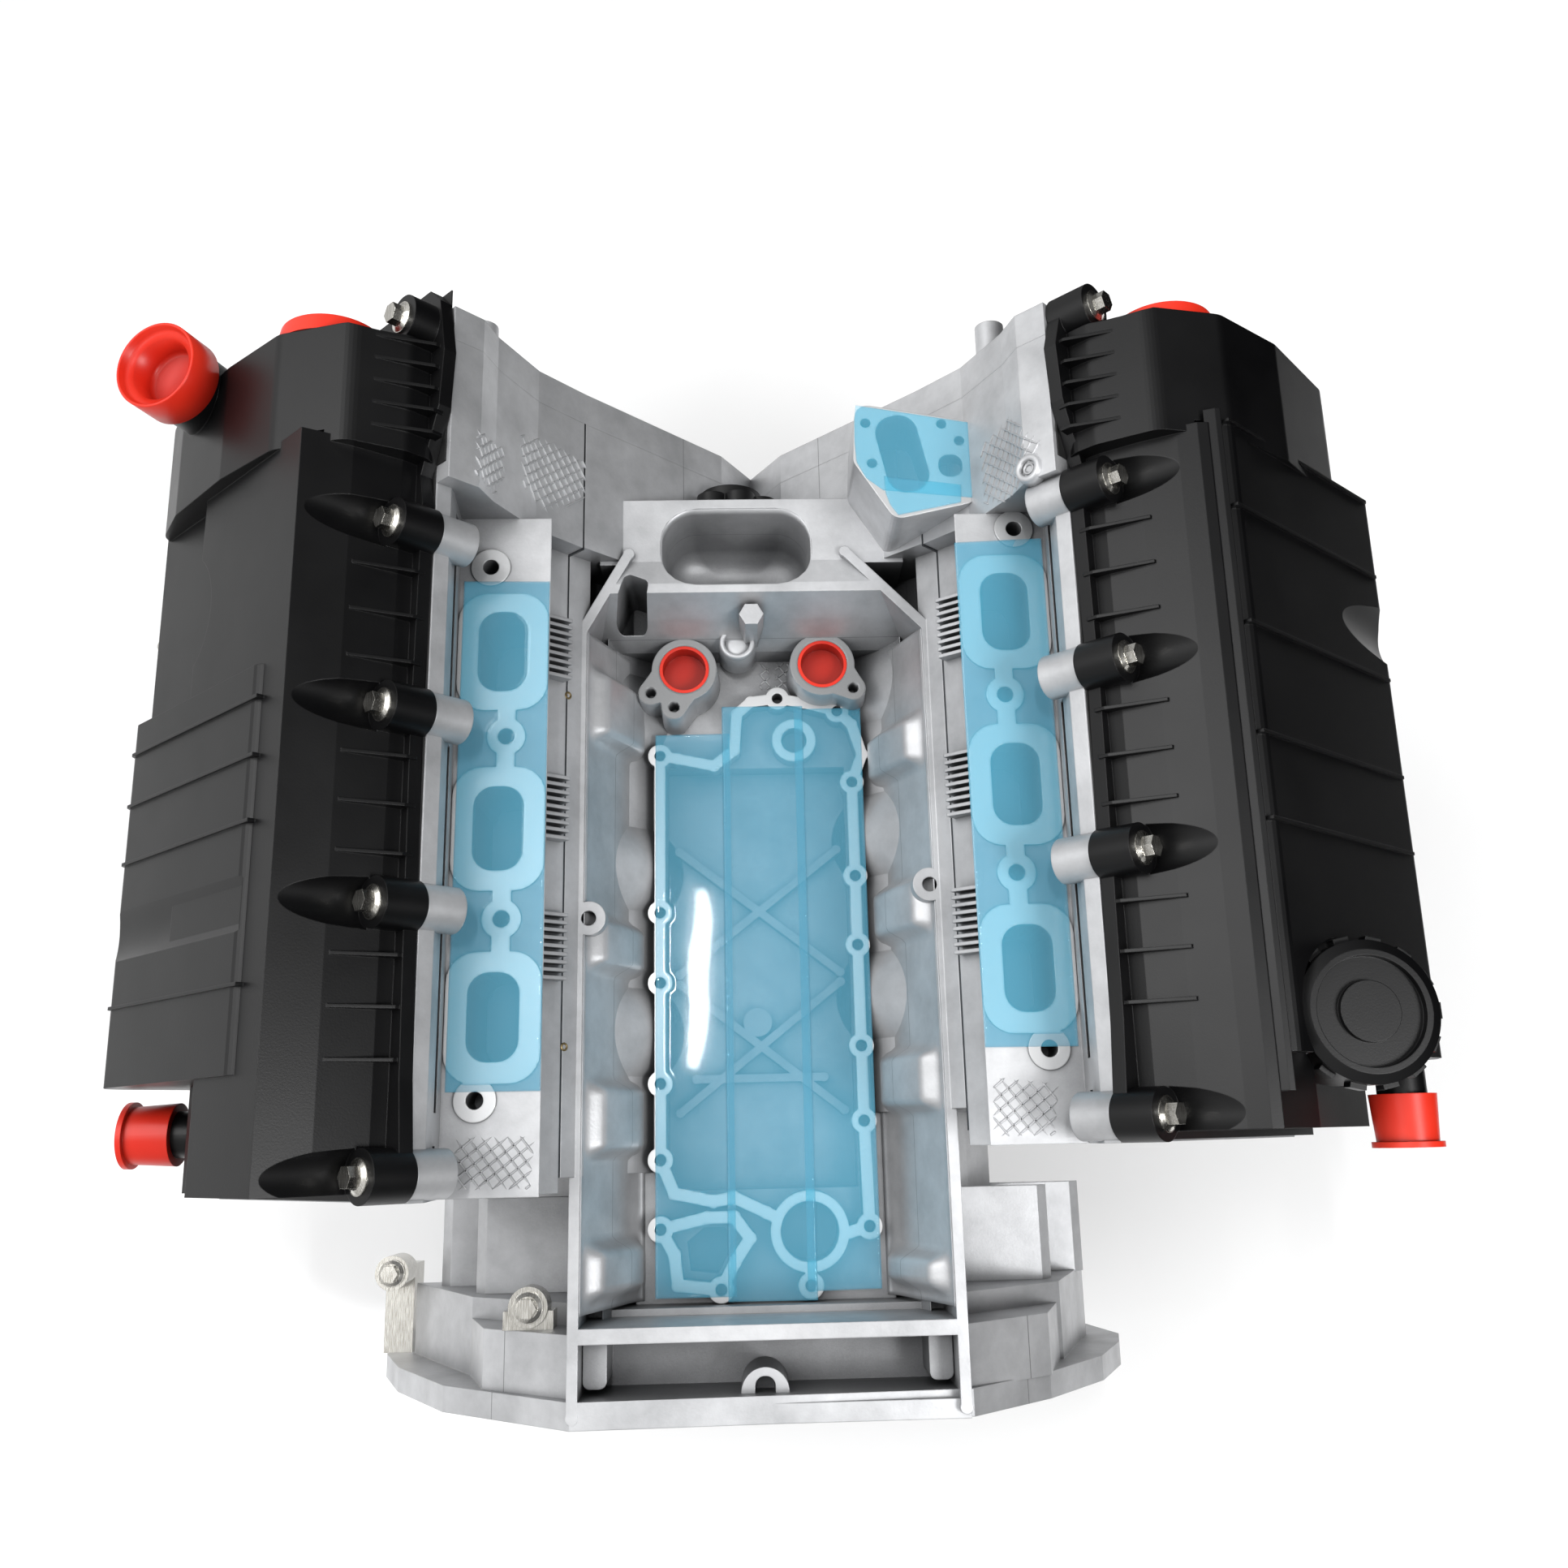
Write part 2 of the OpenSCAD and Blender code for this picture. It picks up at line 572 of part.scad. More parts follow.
module block_cuts() {
    at_mid() {
        rod(web_r + 4, mains[3] + main_w / 2 - 2, mains[2] - main_w / 2 + 2);
        rod(web_r + 4, mains[2] + main_w / 2 - 2, mains[1] - main_w / 2 + 2);
        rod(web_r + 4, mains[1] + main_w / 2 - 2, mains[0] - main_w / 2 + 2);
        rod(main_d / 2 + run_gap + 2.5, mains[3] - 14, mains[0] + 14);
        rod(main_d / 2 + 6, -block_rear_y - 1, mains[3] - 12);
        rod(carrier_r + run_gap, -block_rear_y - 1, -block_rear_y + carrier_t);
        rod(main_d / 2 + 6, mains[0] + 12, head_front_y);
        difference() {
            slab([-57, -193, well_floor_z], [56, 66, valley_floor_z + 1]);
            well_ribs();
        }
        translate([rear_ring_at[0], rear_ring_at[1], well_floor_z]) cylinder(h = 40, r = 17, $fn = fn_fine);
        translate([0, 0, well_floor_z]) linear_extrude(20) polygon([[-46, -222], [-44, -238], [-28, -240], [-18, -222], [-24, -214], [-36, -214]]);
        for (s = sides) {
            translate([s * (rail_x - 9), boss_y(s), rail_z - 24]) cylinder(h = 26, d = 8.5, $fn = 24);
            for (y = [-20 - mount_dy / 2, -20 + mount_dy / 2]) for (z = [18 - mount_dz / 2, 18 + mount_dz / 2])
                translate([s * (case_w - 22), y, z]) rotate([0, s * 90, 0]) cylinder(h = 30, d = 8.5, $fn = 24);
        }
        for (p = coolant_ports) translate([p[0], p[1], land_z + port_ring_h - valley_plug_h - 2])
            cylinder(h = 40, d = valley_plug_d + 2 * fit_gap, $fn = fn_fine);
    }
    for (side = sides) on_bank(side) for (k = cyls) translate([0, k * cyl_pitch, 40]) {
        cylinder(h = liner_foot_u - 40, d = bore_d + 1, $fn = fn_fine);
        translate([0, 0, liner_foot_u - 40 - weld]) cylinder(h = 240, d = bore_d + 2 * liner_wall, $fn = fn_fine);
    }
}

module bedplate() color("silver") at_mid() difference() {
    union() {
        prism([[-case_w, -70], [case_w, -70], [case_w, 0], [-case_w, 0]], -block_rear_y + 13, block_front_y);
        prism(lower_bell_pts, -block_rear_y, -block_rear_y + 14);
    }
    for (i = [0:2]) rod(web_r + 4, mains[i + 1] + main_w / 2 - 2, mains[i] - main_w / 2 + 2);
    rod(main_d / 2 + run_gap + 2.5, mains[3] - 14, mains[0] + 14);
    rod(main_d / 2 + 6, -block_rear_y - 1, mains[3] - 12);
    rod(carrier_r + run_gap, -block_rear_y - 1, -block_rear_y + carrier_t);
    rod(main_d / 2 + 6, mains[0] + 12, head_front_y);
    for (i = [0:2]) slab([-84, mains[i + 1] + 12, -80], [84, mains[i] - 12, -40]);
}

lower_bell_pts = [[-250, 0], [-266, -92], [-236, -128], [-160, -168], [160, -168], [206, -120], [226, -60], [237, 0]];

module sump_pan() color("silver") at_mid() difference() {
    prism(rounded([[-case_w, -70], [-case_w, -84], [-118, -110], [-100, -sump_depth], [100, -sump_depth],
        [118, -110], [case_w, -84], [case_w, -70]], 8), -block_rear_y + 20, block_front_y);
    prism([[-112, -60], [-108, -110], [-92, -sump_depth + 8], [92, -sump_depth + 8], [108, -110], [112, -60]],
        -block_rear_y + 32, block_front_y - 12);
}

carrier_r = 49.5;
carrier_t = 6;

module rear_seal_carrier() color("silver") at_mid() difference() {
    union() {
        rod(main_d / 2 + 5.5, -block_rear_y, -block_rear_y + 19);
        rod(carrier_r, -block_rear_y, -block_rear_y + carrier_t);
    }
    rod(main_d / 2 + 0.3, -block_rear_y - 1, -block_rear_y + 20);
}

// Head

head_pts = [[-92, head_base_u], [68, head_base_u], [68, 250], [port_mid[0] + 17, port_sum - 2 - port_mid[0] - 17],
    [port_mid[0] - 19, port_sum - 2 - port_mid[0] + 19], [90, joint_u - 14], [95, joint_u - 9], [95, joint_u],
    [-99, joint_u], [-99, joint_u - 14], [-92, joint_u - 24], [-92, 290], [-104, 286], [-104, 238], [-92, 232]];

// Children are drawn on the intake port face: X across it, Y along the bank, Z out of it
module on_port_face() {
    translate([port_mid[0], 0, port_mid[1]]) rotate([0, tilt, 0]) children();
}

module cylinder_head(side) {
    yf = head_front_y - bank_shift(side);
    color("lightgray") on_bank(side) difference() {
        union() {
            prism(head_pts, head_rear_y, block_front_y - bank_shift(side));
            prism(head_front_pts, block_front_y - bank_shift(side) - weld, yf);
            on_port_face() {
                for (k = cyls) translate([0, k * cyl_pitch, -3]) pad(50, 68, 3, 16);
                for (k = [-0.5, 0.5]) translate([3, k * cyl_pitch + 1, -3]) {
                    cylinder(h = 3, d = 21, $fn = fn_fine);
                    translate([-5, -22, 0]) cube([10, 44, 3]);
                }
                for (y = [1.5 * cyl_pitch, -1.42 * cyl_pitch]) translate([-8, y, -6]) cylinder(h = 6, d = 22, $fn = fn_fine);
            }
            for (y = [117, 21, -58]) for (j = [-4:4]) head_fin(y - bank_shift(side) * 0.5 + j * 4.4);
            for (y = bolts_of(side))
                if (y < yf - 13) translate([bolt_v, y, joint_u - 22]) cylinder(h = 22, d = 24, $fn = fn_fine);
        }
        head_cuts(side, yf);
    }
}

// Thin fin on the head's valley wall, below the port face
module head_fin(y) {
    prism([[67, head_base_u + 2], [76, head_base_u + 2], [73, 258], [67, 258]], y - 1, y + 1);
}

module head_cuts(side, yf) {
    on_port_face() {
        for (k = cyls) translate([0, k * cyl_pitch, -58]) pad(port_w, port_l, 60, 11);
        for (k = [-0.5, 0.5]) translate([3, k * cyl_pitch + 1, -24]) cylinder(h = 26, d = 9, $fn = fn_soft);
        for (y = [1.5 * cyl_pitch, -1.42 * cyl_pitch]) translate([-8, y, -24]) cylinder(h = 26, d = 9, $fn = fn_soft);
    }
    chain_room(block_front_y - bank_shift(side) + 4, yf + 1);
    difference() {
        slab([-84, head_rear_y + 10, joint_u - 26], [82, block_front_y - bank_shift(side) - 6, joint_u + 1]);
        for (y = cam_journals) slab([-90, y - 8, joint_u - 30], [84, y + 8, joint_u + 2]);
    }
    for (s = sides) rod(cam_journal_r + run_gap, head_rear_y + 9, block_front_y - bank_shift(side) + 5, s * cam_v, cam_u);
    for (k = cyls) {
        for (s = sides) for (j = sides) on_valve(s, k, j) valve_bore(s);
        translate([0, k * cyl_pitch, joint_u - 77]) cylinder(h = 80, r = 11.5, $fn = fn_soft);
        translate([0, k * cyl_pitch, head_base_u - 1]) cylinder(h = 60, r = 6 + run_gap, $fn = fn_soft);
    }
    for (k = cyls) translate([0, k * cyl_pitch, head_base_u - 1]) cylinder(h = 9, d1 = bore_d - 2, d2 = 46, $fn = fn_fine);
    for (k = cyls) translate([-105, k * cyl_pitch, 262]) rotate([0, 90, 0]) cylinder(h = 44, d = 32, $fn = fn_fine);
    for (y = bolts_of(side))
        translate([bolt_v, y, joint_u - 18]) cylinder(h = 20, d = bolt_d + fit_gap, $fn = 24);
}

chain_room_v = 92.3;

// Space for the chain at the front of a head
module chain_room(y0, y1) {
    prism([[-92, head_base_u - 1], [77.5, head_base_u - 1], [79.5, 263], [chain_room_v, 301], [chain_room_v, joint_u + 1], [-92, joint_u + 1]], y0, y1);
}

cam_journals = [1.5 * cyl_pitch + 6, 0.5 * cyl_pitch, -0.5 * cyl_pitch, -1.5 * cyl_pitch - 6];
cam_journal_r = 13;
valve_foot_v = 20;
valve_foot_u = head_base_u + 6;
valve_tilt = atan((cam_v - valve_foot_v) / (cam_u - valve_foot_u));
valve_reach = (cam_u - valve_foot_u) / cos(valve_tilt);
valve_gap_y = 18;
lobe_tip_r = lobe_base_d / 2 + lobe_lift;
tappet_top = lobe_tip_r + body_gap + 0.2;
tappet_h = 24;
spring_foot = 66;
function valve_r(s) = s > 0 ? 16.5 : 14.5;

// Children hang along one valve: the cam axis is at z = 0 and the valve's head is below
module on_valve(s, k, j) {
    translate([s * cam_v, k * cyl_pitch + j * valve_gap_y, cam_u]) rotate([0, s * valve_tilt, 0]) children();
}

// Room in the head for a tappet, its spring, the stem and the throat
module valve_bore(s) {
    r = valve_r(s);
    rotate_extrude($fn = fn_fine) polygon([[0, 0], [tappet_d / 2 + run_gap, 0], [tappet_d / 2 + run_gap, -tappet_top - tappet_h - 1],
        [12, -tappet_top - tappet_h - 1], [12, -spring_foot], [3 + run_gap, -spring_foot], [3 + run_gap, -valve_reach + 28],
        [r - 4, -valve_reach + 20], [r - 3, -valve_reach + 5], [r + 0.2, -valve_reach + 1.8],
        [r + 0.2, -valve_reach - 2], [0, -valve_reach - 2]]);
}

module valves() color("gray") for (side = sides) on_bank(side) for (s = sides) for (k = cyls) for (j = sides)
    on_valve(s, k, j) rotate_extrude($fn = fn_fine) polygon([[0, -tappet_top - 4], [3, -tappet_top - 4], [3, -valve_reach + 12],
        [valve_r(s) - 4, -valve_reach + 4], [valve_r(s), -valve_reach + 1.6], [valve_r(s), -valve_reach], [0, -valve_reach]]);

module tappets() color("silver") for (side = sides) on_bank(side) for (s = sides) for (k = cyls) for (j = sides)
    on_valve(s, k, j) rotate_extrude($fn = fn_fine) polygon([[0, -tappet_top], [tappet_d / 2, -tappet_top],
        [tappet_d / 2, -tappet_top - tappet_h], [tappet_d / 2 - 1.8, -tappet_top - tappet_h], [tappet_d / 2 - 1.8, -tappet_top - 3.8],
        [0, -tappet_top - 3.8]]);

spring_coils = 6;

// Each spring stands on the head and carries its retainer
module valve_springs() color("goldenrod") for (side = sides) on_bank(side) for (s = sides) for (k = cyls) for (j = sides)
    on_valve(s, k, j) {
        pitch = (spring_foot - tappet_top - 9) / spring_coils;
        rotate_extrude($fn = fn_soft) polygon(concat(
            [for (i = [0:spring_coils - 1]) each [[10.5, -spring_foot + i * pitch], [9, -spring_foot + (i + 0.5) * pitch]]],
            [[10.5, -tappet_top - 9], [10.5, -tappet_top - 6.5], [3.2, -tappet_top - 6.5], [3.2, -tappet_top - 9]],
            [for (i = [spring_coils - 1:-1:0]) each [[6, -spring_foot + (i + 0.5) * pitch], [7.5, -spring_foot + i * pitch]]]));
    }

module cam_caps() color("silver") for (side = sides) on_bank(side) for (s = sides) for (y = cam_journals) difference() {
    union() {
        translate([0, y - 7, 0]) slab([s * cam_v - 21, 0, joint_u], [s * cam_v + 21, 14, cam_u + 6]);
        rod(cam_journal_r + 5, y - 7, y + 7, s * cam_v, cam_u);
    }
    slab([-100, y - 10, cam_u - 40], [100, y + 10, joint_u]);
    rod(cam_journal_r + run_gap, y - 8, y + 8, s * cam_v, cam_u);
    for (e = sides) translate([s * cam_v + e * 17.2, y, cam_u - 10]) cylinder(h = 30, r = 3, $fn = 24);
}

module spark_plugs() color("white") for (side = sides) on_bank(side) for (k = cyls) translate([0, k * cyl_pitch, head_base_u + 6]) {
    cylinder(h = joint_u - 77 - head_base_u - 6 + weld, r = 6, $fn = fn_soft);
    translate([0, 0, joint_u - 77 - head_base_u - 6]) {
        cylinder(h = 12, d = 18.4, $fn = 6);
        translate([0, 0, 12 - weld]) cylinder(h = 22, r1 = 6, r2 = 4.5, $fn = fn_soft);
        translate([0, 0, 34 - 2 * weld]) cylinder(h = 8, r = 3, $fn = fn_soft);
    }
}

// Outline of a belt round circles [x, z, r], taken counter-clockwise and grown by g
function side_angle(a, b) = atan2(b[1] - a[1], b[0] - a[0]) - acos((a[2] - b[2]) / norm([b[0] - a[0], b[1] - a[1]]));
function loop_pts(cs, g, n = 8) = let (m = len(cs)) [for (i = [0:m - 1])
    let (a0 = side_angle(cs[(i + m - 1) % m], cs[i]), a1 = side_angle(cs[i], cs[(i + 1) % m]), turn = (a1 - a0 + 720) % 360)
    for (j = [0:n]) [cs[i][0], cs[i][1]] + (cs[i][2] + g) * [cos(a0 + turn * j / n), sin(a0 + turn * j / n)]];

cam_r = sprocket_r(cam_teeth);
crank_r = sprocket_r(crank_teeth);
chain_wheels = [[0, 0, crank_r], [cam_v, cam_u, cam_r], [-cam_v, cam_u, cam_r]];
chain_in = 2;
chain_out = 6;

module timing_chain(side) color("dimgray") {
    y = sprocket_y[front_i(side)] - bank_shift(side);
    on_bank(side) difference() {
        prism(loop_pts(chain_wheels, chain_out), y - 4, y + 4);
        prism(loop_pts(chain_wheels, chain_in), y - 5, y + 5);
    }
}

// A guide lies inside one straight run of the chain, from one share of the run to another
module guide(a, b, from, to, y, y0) {
    n = side_angle(a, b);
    u = [cos(n), sin(n)];
    pa = [a[0], a[1]] + u * (a[2] + chain_in - body_gap);
    pb = [b[0], b[1]] + u * (b[2] + chain_in - body_gap);
    prism([pa + (pb - pa) * from - u * 6, pa + (pb - pa) * from, pa + (pb - pa) * to, pa + (pb - pa) * to - u * 6], y - 5, y + 5);
    for (t = [from + 0.06, to - 0.06]) let (p = pa + (pb - pa) * t - u * 6) rod(5, y0, y + 5, p[0], p[1]);
}

module chain_guides() color("dimgray") for (side = sides) on_bank(side) {
    y = sprocket_y[front_i(side)] - bank_shift(side);
    y0 = block_front_y + chest_back - bank_shift(side);
    guide(chain_wheels[0], chain_wheels[1], 0.25, 0.6, y, y0);
    guide(chain_wheels[2], chain_wheels[0], 0.4, 0.75, y, y0);
}

module chain_tensioners() color("silver") for (side = sides) on_bank(side) {
    y = sprocket_y[front_i(side)] - bank_shift(side);
    translate([-26, y, 170]) rotate([0, -84, 0]) cylinder(h = 20.8, r = 5, $fn = fn_soft);
    slab([-27, block_front_y + chest_back - bank_shift(side), 150], [-4, y + 9, 192]);
}

// Camshafts turn in the head, half in it and half in the caps
function lobe_turn(side, k, s) = let (p = cyl_phase(k, side) + (side > 0 ? 0 : 360), peak = s > 0 ? 470 : 250) (p - peak) / 2;

module lobe(turn, y, t) {
    pts = loop_pts([[0, 0, lobe_base_d / 2], [0, -(lobe_tip_r - 6), 6]], 0, 8);
    translate([0, y + t / 2, 0]) rotate([90, 0, 0]) rotate([0, 0, turn]) linear_extrude(t) polygon(pts);
}

module camshaft(side, s) color("gray") on_bank(side) translate([s * cam_v, 0, cam_u]) difference() {
    y1 = sprocket_y[front_i(side)] - bank_shift(side) - 6;
    union() {
        rod(10.5, head_rear_y + 14, y1);
        for (y = cam_journals) rod(cam_journal_r, y - 9, y + 9);
        rod(16, block_front_y - bank_shift(side) + 8, y1);
        for (k = cyls) for (j = sides) rotate([0, s * valve_tilt, 0])
            lobe(side * lobe_turn(side, k, s), k * cyl_pitch + j * valve_gap_y, 12);
    }
    rod(4, head_rear_y + 10, y1 - 20);
}

module phaser(side, s) color("darkgray") on_bank(side) {
    y = sprocket_y[front_i(side)] - bank_shift(side);
    translate([s * cam_v, 0, cam_u]) {
        sprocket(cam_teeth, y - 3, y + 3, cam_r);
        rod(30, y - 6, y + 22);
        rod(12, y + 22 - weld, y + 27);
        for (a = [30:60:330]) rod(3.4, y + 22 - weld, y + 25, 23 * sin(a), 23 * cos(a));
    }
}

module oil_pump() color("silver") at_mid() difference() {
    y0 = block_front_y + chest_back + body_gap;
    union() {
        rod(46, y0, y0 + 14);
        slab([-14, y0, -62], [14, y0 + 14, -20]);
    }
    rod(nose_r + 2.5, y0 - 1, y0 + 15);
    translate([0, y0 + 7, -63]) cylinder(h = 30, r = 6, $fn = fn_soft);
}

module oil_pickup() color("gray") at_mid() {
    translate([0, mains[1], -sump_depth + 14]) difference() {
        cylinder(h = 12, r1 = 30, r2 = 24, $fn = fn_fine);
        translate([0, 0, -1]) cylinder(h = 4, r = 26, $fn = fn_fine);
    }
    translate([0, mains[1], -sump_depth + 26 - weld]) cylinder(h = sump_depth - 96, r = 9, $fn = fn_soft);
    translate([0, mains[1], -76]) cylinder(h = 6, r = 11, $fn = fn_soft);
}

pump_at = [-14, 148];

// Black pump housing: a lobed flange on the thin front wall of the pit, and its round body
module coolant_pump() color("dimgray") at_mid() {
    y0 = pit_front_y + pit_wall + body_gap;
    intersection() {
        union() {
            rod(28, y0, y0 + 14, pump_at[0], pump_at[1]);
            for (a = [-70, -28, 14, 56]) rod(10, y0, y0 + 14, pump_at[0] + 24 * sin(a), pump_at[1] + 24 * cos(a));
            rod(20, y0 + 13, y0 + 24, pump_at[0], pump_at[1]);
        }
        prism([[0, 118], [100, 218], [-100, 218]], y0 - 1, y0 + 25);
    }
}

film_t = 0.4;

module port_films() color("skyblue", 0.6) for (side = sides) on_bank(side) on_port_face()
    translate([1.5, side < 0 ? 2 : 4, run_gap]) pad(50, 2.76 * cyl_pitch + (side < 0 ? 0 : 4), film_t, 2);

module valley_film() color("skyblue", 0.6) at_mid() {
    slab([-64, -252, land_z], [-17, 86, land_z + film_t]);
    slab([-22, -255, land_z + film_t], [30, 104, land_z + 2 * film_t]);
    slab([24, -250, land_z], [67, 102, land_z + film_t]);
}

housing_pts = [[59, 219], [82, 182], [131, 193], [131, 244], [61, 257]];
housing_z = 248;

// The right bank's front, which the housing leans on
module housing_side() {
    prism([[-96, 30], [60, 30], [82, 110], [82, head_base_u + 1], [-96, head_base_u + 1]], block_front_y - 1, head_front_y + 30);
    prism(head_front_pts, block_front_y - 60, head_front_y + 30);
}

module coolant_housing() color("lightgray") at_mid() difference() {
    translate([0, 0, chest_top_z]) linear_extrude(housing_z - chest_top_z) polygon(rounded(housing_pts, 8));
    mirror([1, 0, 0]) rotate([0, -tilt, 0]) housing_side();
    translate([88, 224, chest_top_z + 10]) rotate([0, 0, 12]) pad(25, 50, 50, 12);
    translate([116, 216, housing_z - 14]) pad(14, 14, 30, 6);
    for (p = [[67, 244], [112, 243], [122, 232], [70, 218]]) translate([p[0], p[1], housing_z - 15]) cylinder(h = 20, r = 3, $fn = 24);
}

module front_film() color("skyblue", 0.6) at_mid() difference() {
    translate([0, 0, housing_z]) linear_extrude(film_t) polygon(inset(housing_pts, 1));
    mirror([1, 0, 0]) rotate([0, -tilt, 0]) housing_side();
}

module breather_cap() color("dimgray") on_breather() difference() {
    union() {
        cylinder(h = 12, r = 35, $fn = fn_fine);
        for (a = [0:25.7:350]) rotate([0, 0, a]) translate([33, -4, 0]) cube([4.5, 8, 8]);
        translate([0, 0, 12 - weld]) cylinder(h = 3, r1 = 35, r2 = 30, $fn = fn_fine);
    }
    translate([0, 0, 11]) difference() {
        cylinder(h = 5, r = 27, $fn = fn_fine);
        cylinder(h = 3, r = 15, $fn = fn_fine);
    }
}

breather_at = [294, -111, 302];

module on_breather() {
    at_mid() translate(breather_at) children();
}

// Ball studs stand on the outer walls of the covers: side, place along the bank, height up it
stud_at = [[-1, 132, 384, 104], [1, 228, 374, 110], [1, -84, 384, 116]];

module ball_studs() color("dimgray") for (p = stud_at) on_bank(p[0])
    translate([-p[3], p[1], p[2]]) rotate([0, -90, 0]) {
        cylinder(h = 12, r = 3, $fn = fn_soft);
        cylinder(h = 3, r = 6, $fn = 6);
        translate([0, 0, 15]) sphere(r = 5, $fn = fn_soft);
    }

// Lifting lugs bolted to the front of the bell flange's left wing: place and top of each
lug_at = [[-133, -252, 166], [-244.5, -244, 20]];
lug_r = 11;

module rear_brackets() color("silver") at_mid() difference() {
    union() {
        translate(lug_at[0] - [0, 0, 16]) cylinder(h = 16, r = lug_r, $fn = fn_soft);
        translate(lug_at[0]) slab([-14, -12, -18], [14, -2, -2]);
        translate(lug_at[1] - [0, 0, 26]) cylinder(h = 26, r = lug_r, $fn = fn_soft);
        translate(lug_at[1]) slab([-9, -52, -50], [10, 4, -24]);
    }
    for (p = lug_at) translate(p - [0, 0, 13]) cylinder(h = 20, d = bolt_d + fit_gap, $fn = 24);
}

module bracket_bolts() color("silver") at_mid() for (p = lug_at) translate(p) flange_bolt(bolt_d, bolt_af, 12);

// Red transport caps, each with a small clearance in its seat
module cup(r, h, wall, floor) {
    difference() {
        cylinder(h = h, r = r, $fn = fn_fine);
        translate([0, 0, floor]) cylinder(h = h, r = r - wall, $fn = fn_fine);
    }
}

valley_plug_h = 16;

module valley_plug(i) color("orangered") at_mid()
    translate([coolant_ports[i][0], coolant_ports[i][1], land_z + port_ring_h - valley_plug_h])
        cup(valley_plug_d / 2, valley_plug_h, 2, 4);

// The front plugs sit in the mouth of a cam cover's dome
module cover_plug(side) color("orangered") on_bank(side)
    translate([plug_at[0], dome_front_y[front_i(side)], plug_at[1]]) rotate([-90, 0, 0]) difference() {
        union() {
            translate([0, 0, -10]) cylinder(h = 10 + body_gap + weld, r = front_plug_d / 2 - 2 - fit_gap, $fn = fn_fine);
            translate([0, 0, body_gap]) cylinder(h = 10, r1 = front_plug_d / 2 + 1, r2 = front_plug_d / 2 - 1, $fn = fn_fine);
        }
        translate([0, 0, -6]) cylinder(h = 20, r = front_plug_d / 2 - 5, $fn = fn_fine);
    }

filler_base = [-305, 256, 232];
filler_tip = [-325, 254, 296];
filler_len = norm(filler_tip - filler_base);
filler_dir = unit(filler_tip - filler_base);

// Children stand at the filler neck's base with Z along the neck
module on_filler() {
    at_mid() translate(filler_base) rotate([0, acos(filler_dir[2]), atan2(filler_dir[1], filler_dir[0])]) children();
}

filler_r = filler_cap_d / 2 - 2.2;

module filler_cap() color("orangered") on_filler() difference() {
    translate([0, 0, filler_len - 16]) cylinder(h = 22, r = filler_cap_d / 2 + 1, $fn = fn_fine);
    translate([0, 0, filler_len - 17]) cylinder(h = 17 + body_gap, r = filler_r + fit_gap, $fn = fn_fine);
    translate([0, 0, filler_len + 2.4]) cylinder(h = 22, r = filler_cap_d / 2 - 1.2, $fn = fn_fine);
}

spigot_r = spigot_cap_d / 2 - 3;
spigot_len = 34;
left_spigot_at = [-311, -154.5, 190];
right_spigot_at = [338, -137, 242];

// Children stand at a spigot's root with Z pointing out of it
module on_spigot(side) {
    at_mid() if (side < 0) translate(left_spigot_at) rotate([0, -90, 0]) children();
        else translate(right_spigot_at) rotate([90, 0, 0]) children();
}

module spigot_cap(side) color("orangered") on_spigot(side) difference() {
    union() {
        translate([0, 0, spigot_len - 22]) cylinder(h = 24.5, r1 = spigot_cap_d / 2 + 1.5, r2 = spigot_cap_d / 2, $fn = fn_fine);
        translate([0, 0, spigot_len + 2.4]) cylinder(h = 3, r = spigot_cap_d / 2 + 2.5, $fn = fn_fine);
    }
    translate([0, 0, spigot_len - 23]) cylinder(h = 23 + body_gap, r = spigot_r + fit_gap, $fn = fn_fine);
}

module cam_cover_gaskets() color("dimgray") for (side = sides) on_bank(side) translate([0, 0, joint_u]) linear_extrude(cover_gasket_t)
    difference() {
        union() {
            translate([-98, cover_rear_y]) square([192, cover_front_y[front_i(side)] - cover_rear_y]);
            translate([0, dome_rear_y - bank_shift(side)]) square([103, cover_front_y[front_i(side)] - dome_rear_y + bank_shift(side)]);
            for (y = bolts_of(side)) translate([bolt_v, y]) circle(r = 12, $fn = fn_fine);
        }
        translate([-92, cover_rear_y + 8]) square([174, cover_front_y[front_i(side)] - cover_rear_y - 14]);
        translate([0, dome_rear_y + 4 - bank_shift(side)]) square([chain_room_v, cover_front_y[front_i(side)] - dome_rear_y - 10 + bank_shift(side)]);
        for (y = bolts_of(side)) translate([bolt_v, y]) circle(d = bolt_d + 0.8, $fn = 24);
    }

module head_gaskets() color("slategray") for (side = sides) on_bank(side) translate([0, 0, deck_h]) linear_extrude(gasket_t) {
    difference() {
        translate([-82, head_rear_y + 8]) square([150, block_front_y - bank_shift(side) - head_rear_y - 8]);
        for (k = cyls) translate([0, k * cyl_pitch]) circle(d = bore_d + 1, $fn = fn_fine);
    }
    translate([-96, block_front_y - bank_shift(side) - 1]) difference() {
        square([178, head_front_y - block_front_y + 1]);
        translate([7, 7]) square([164, head_front_y - block_front_y]);
    }
}

// Cam covers

lid_step = 2.5;
recess_depth = 8;
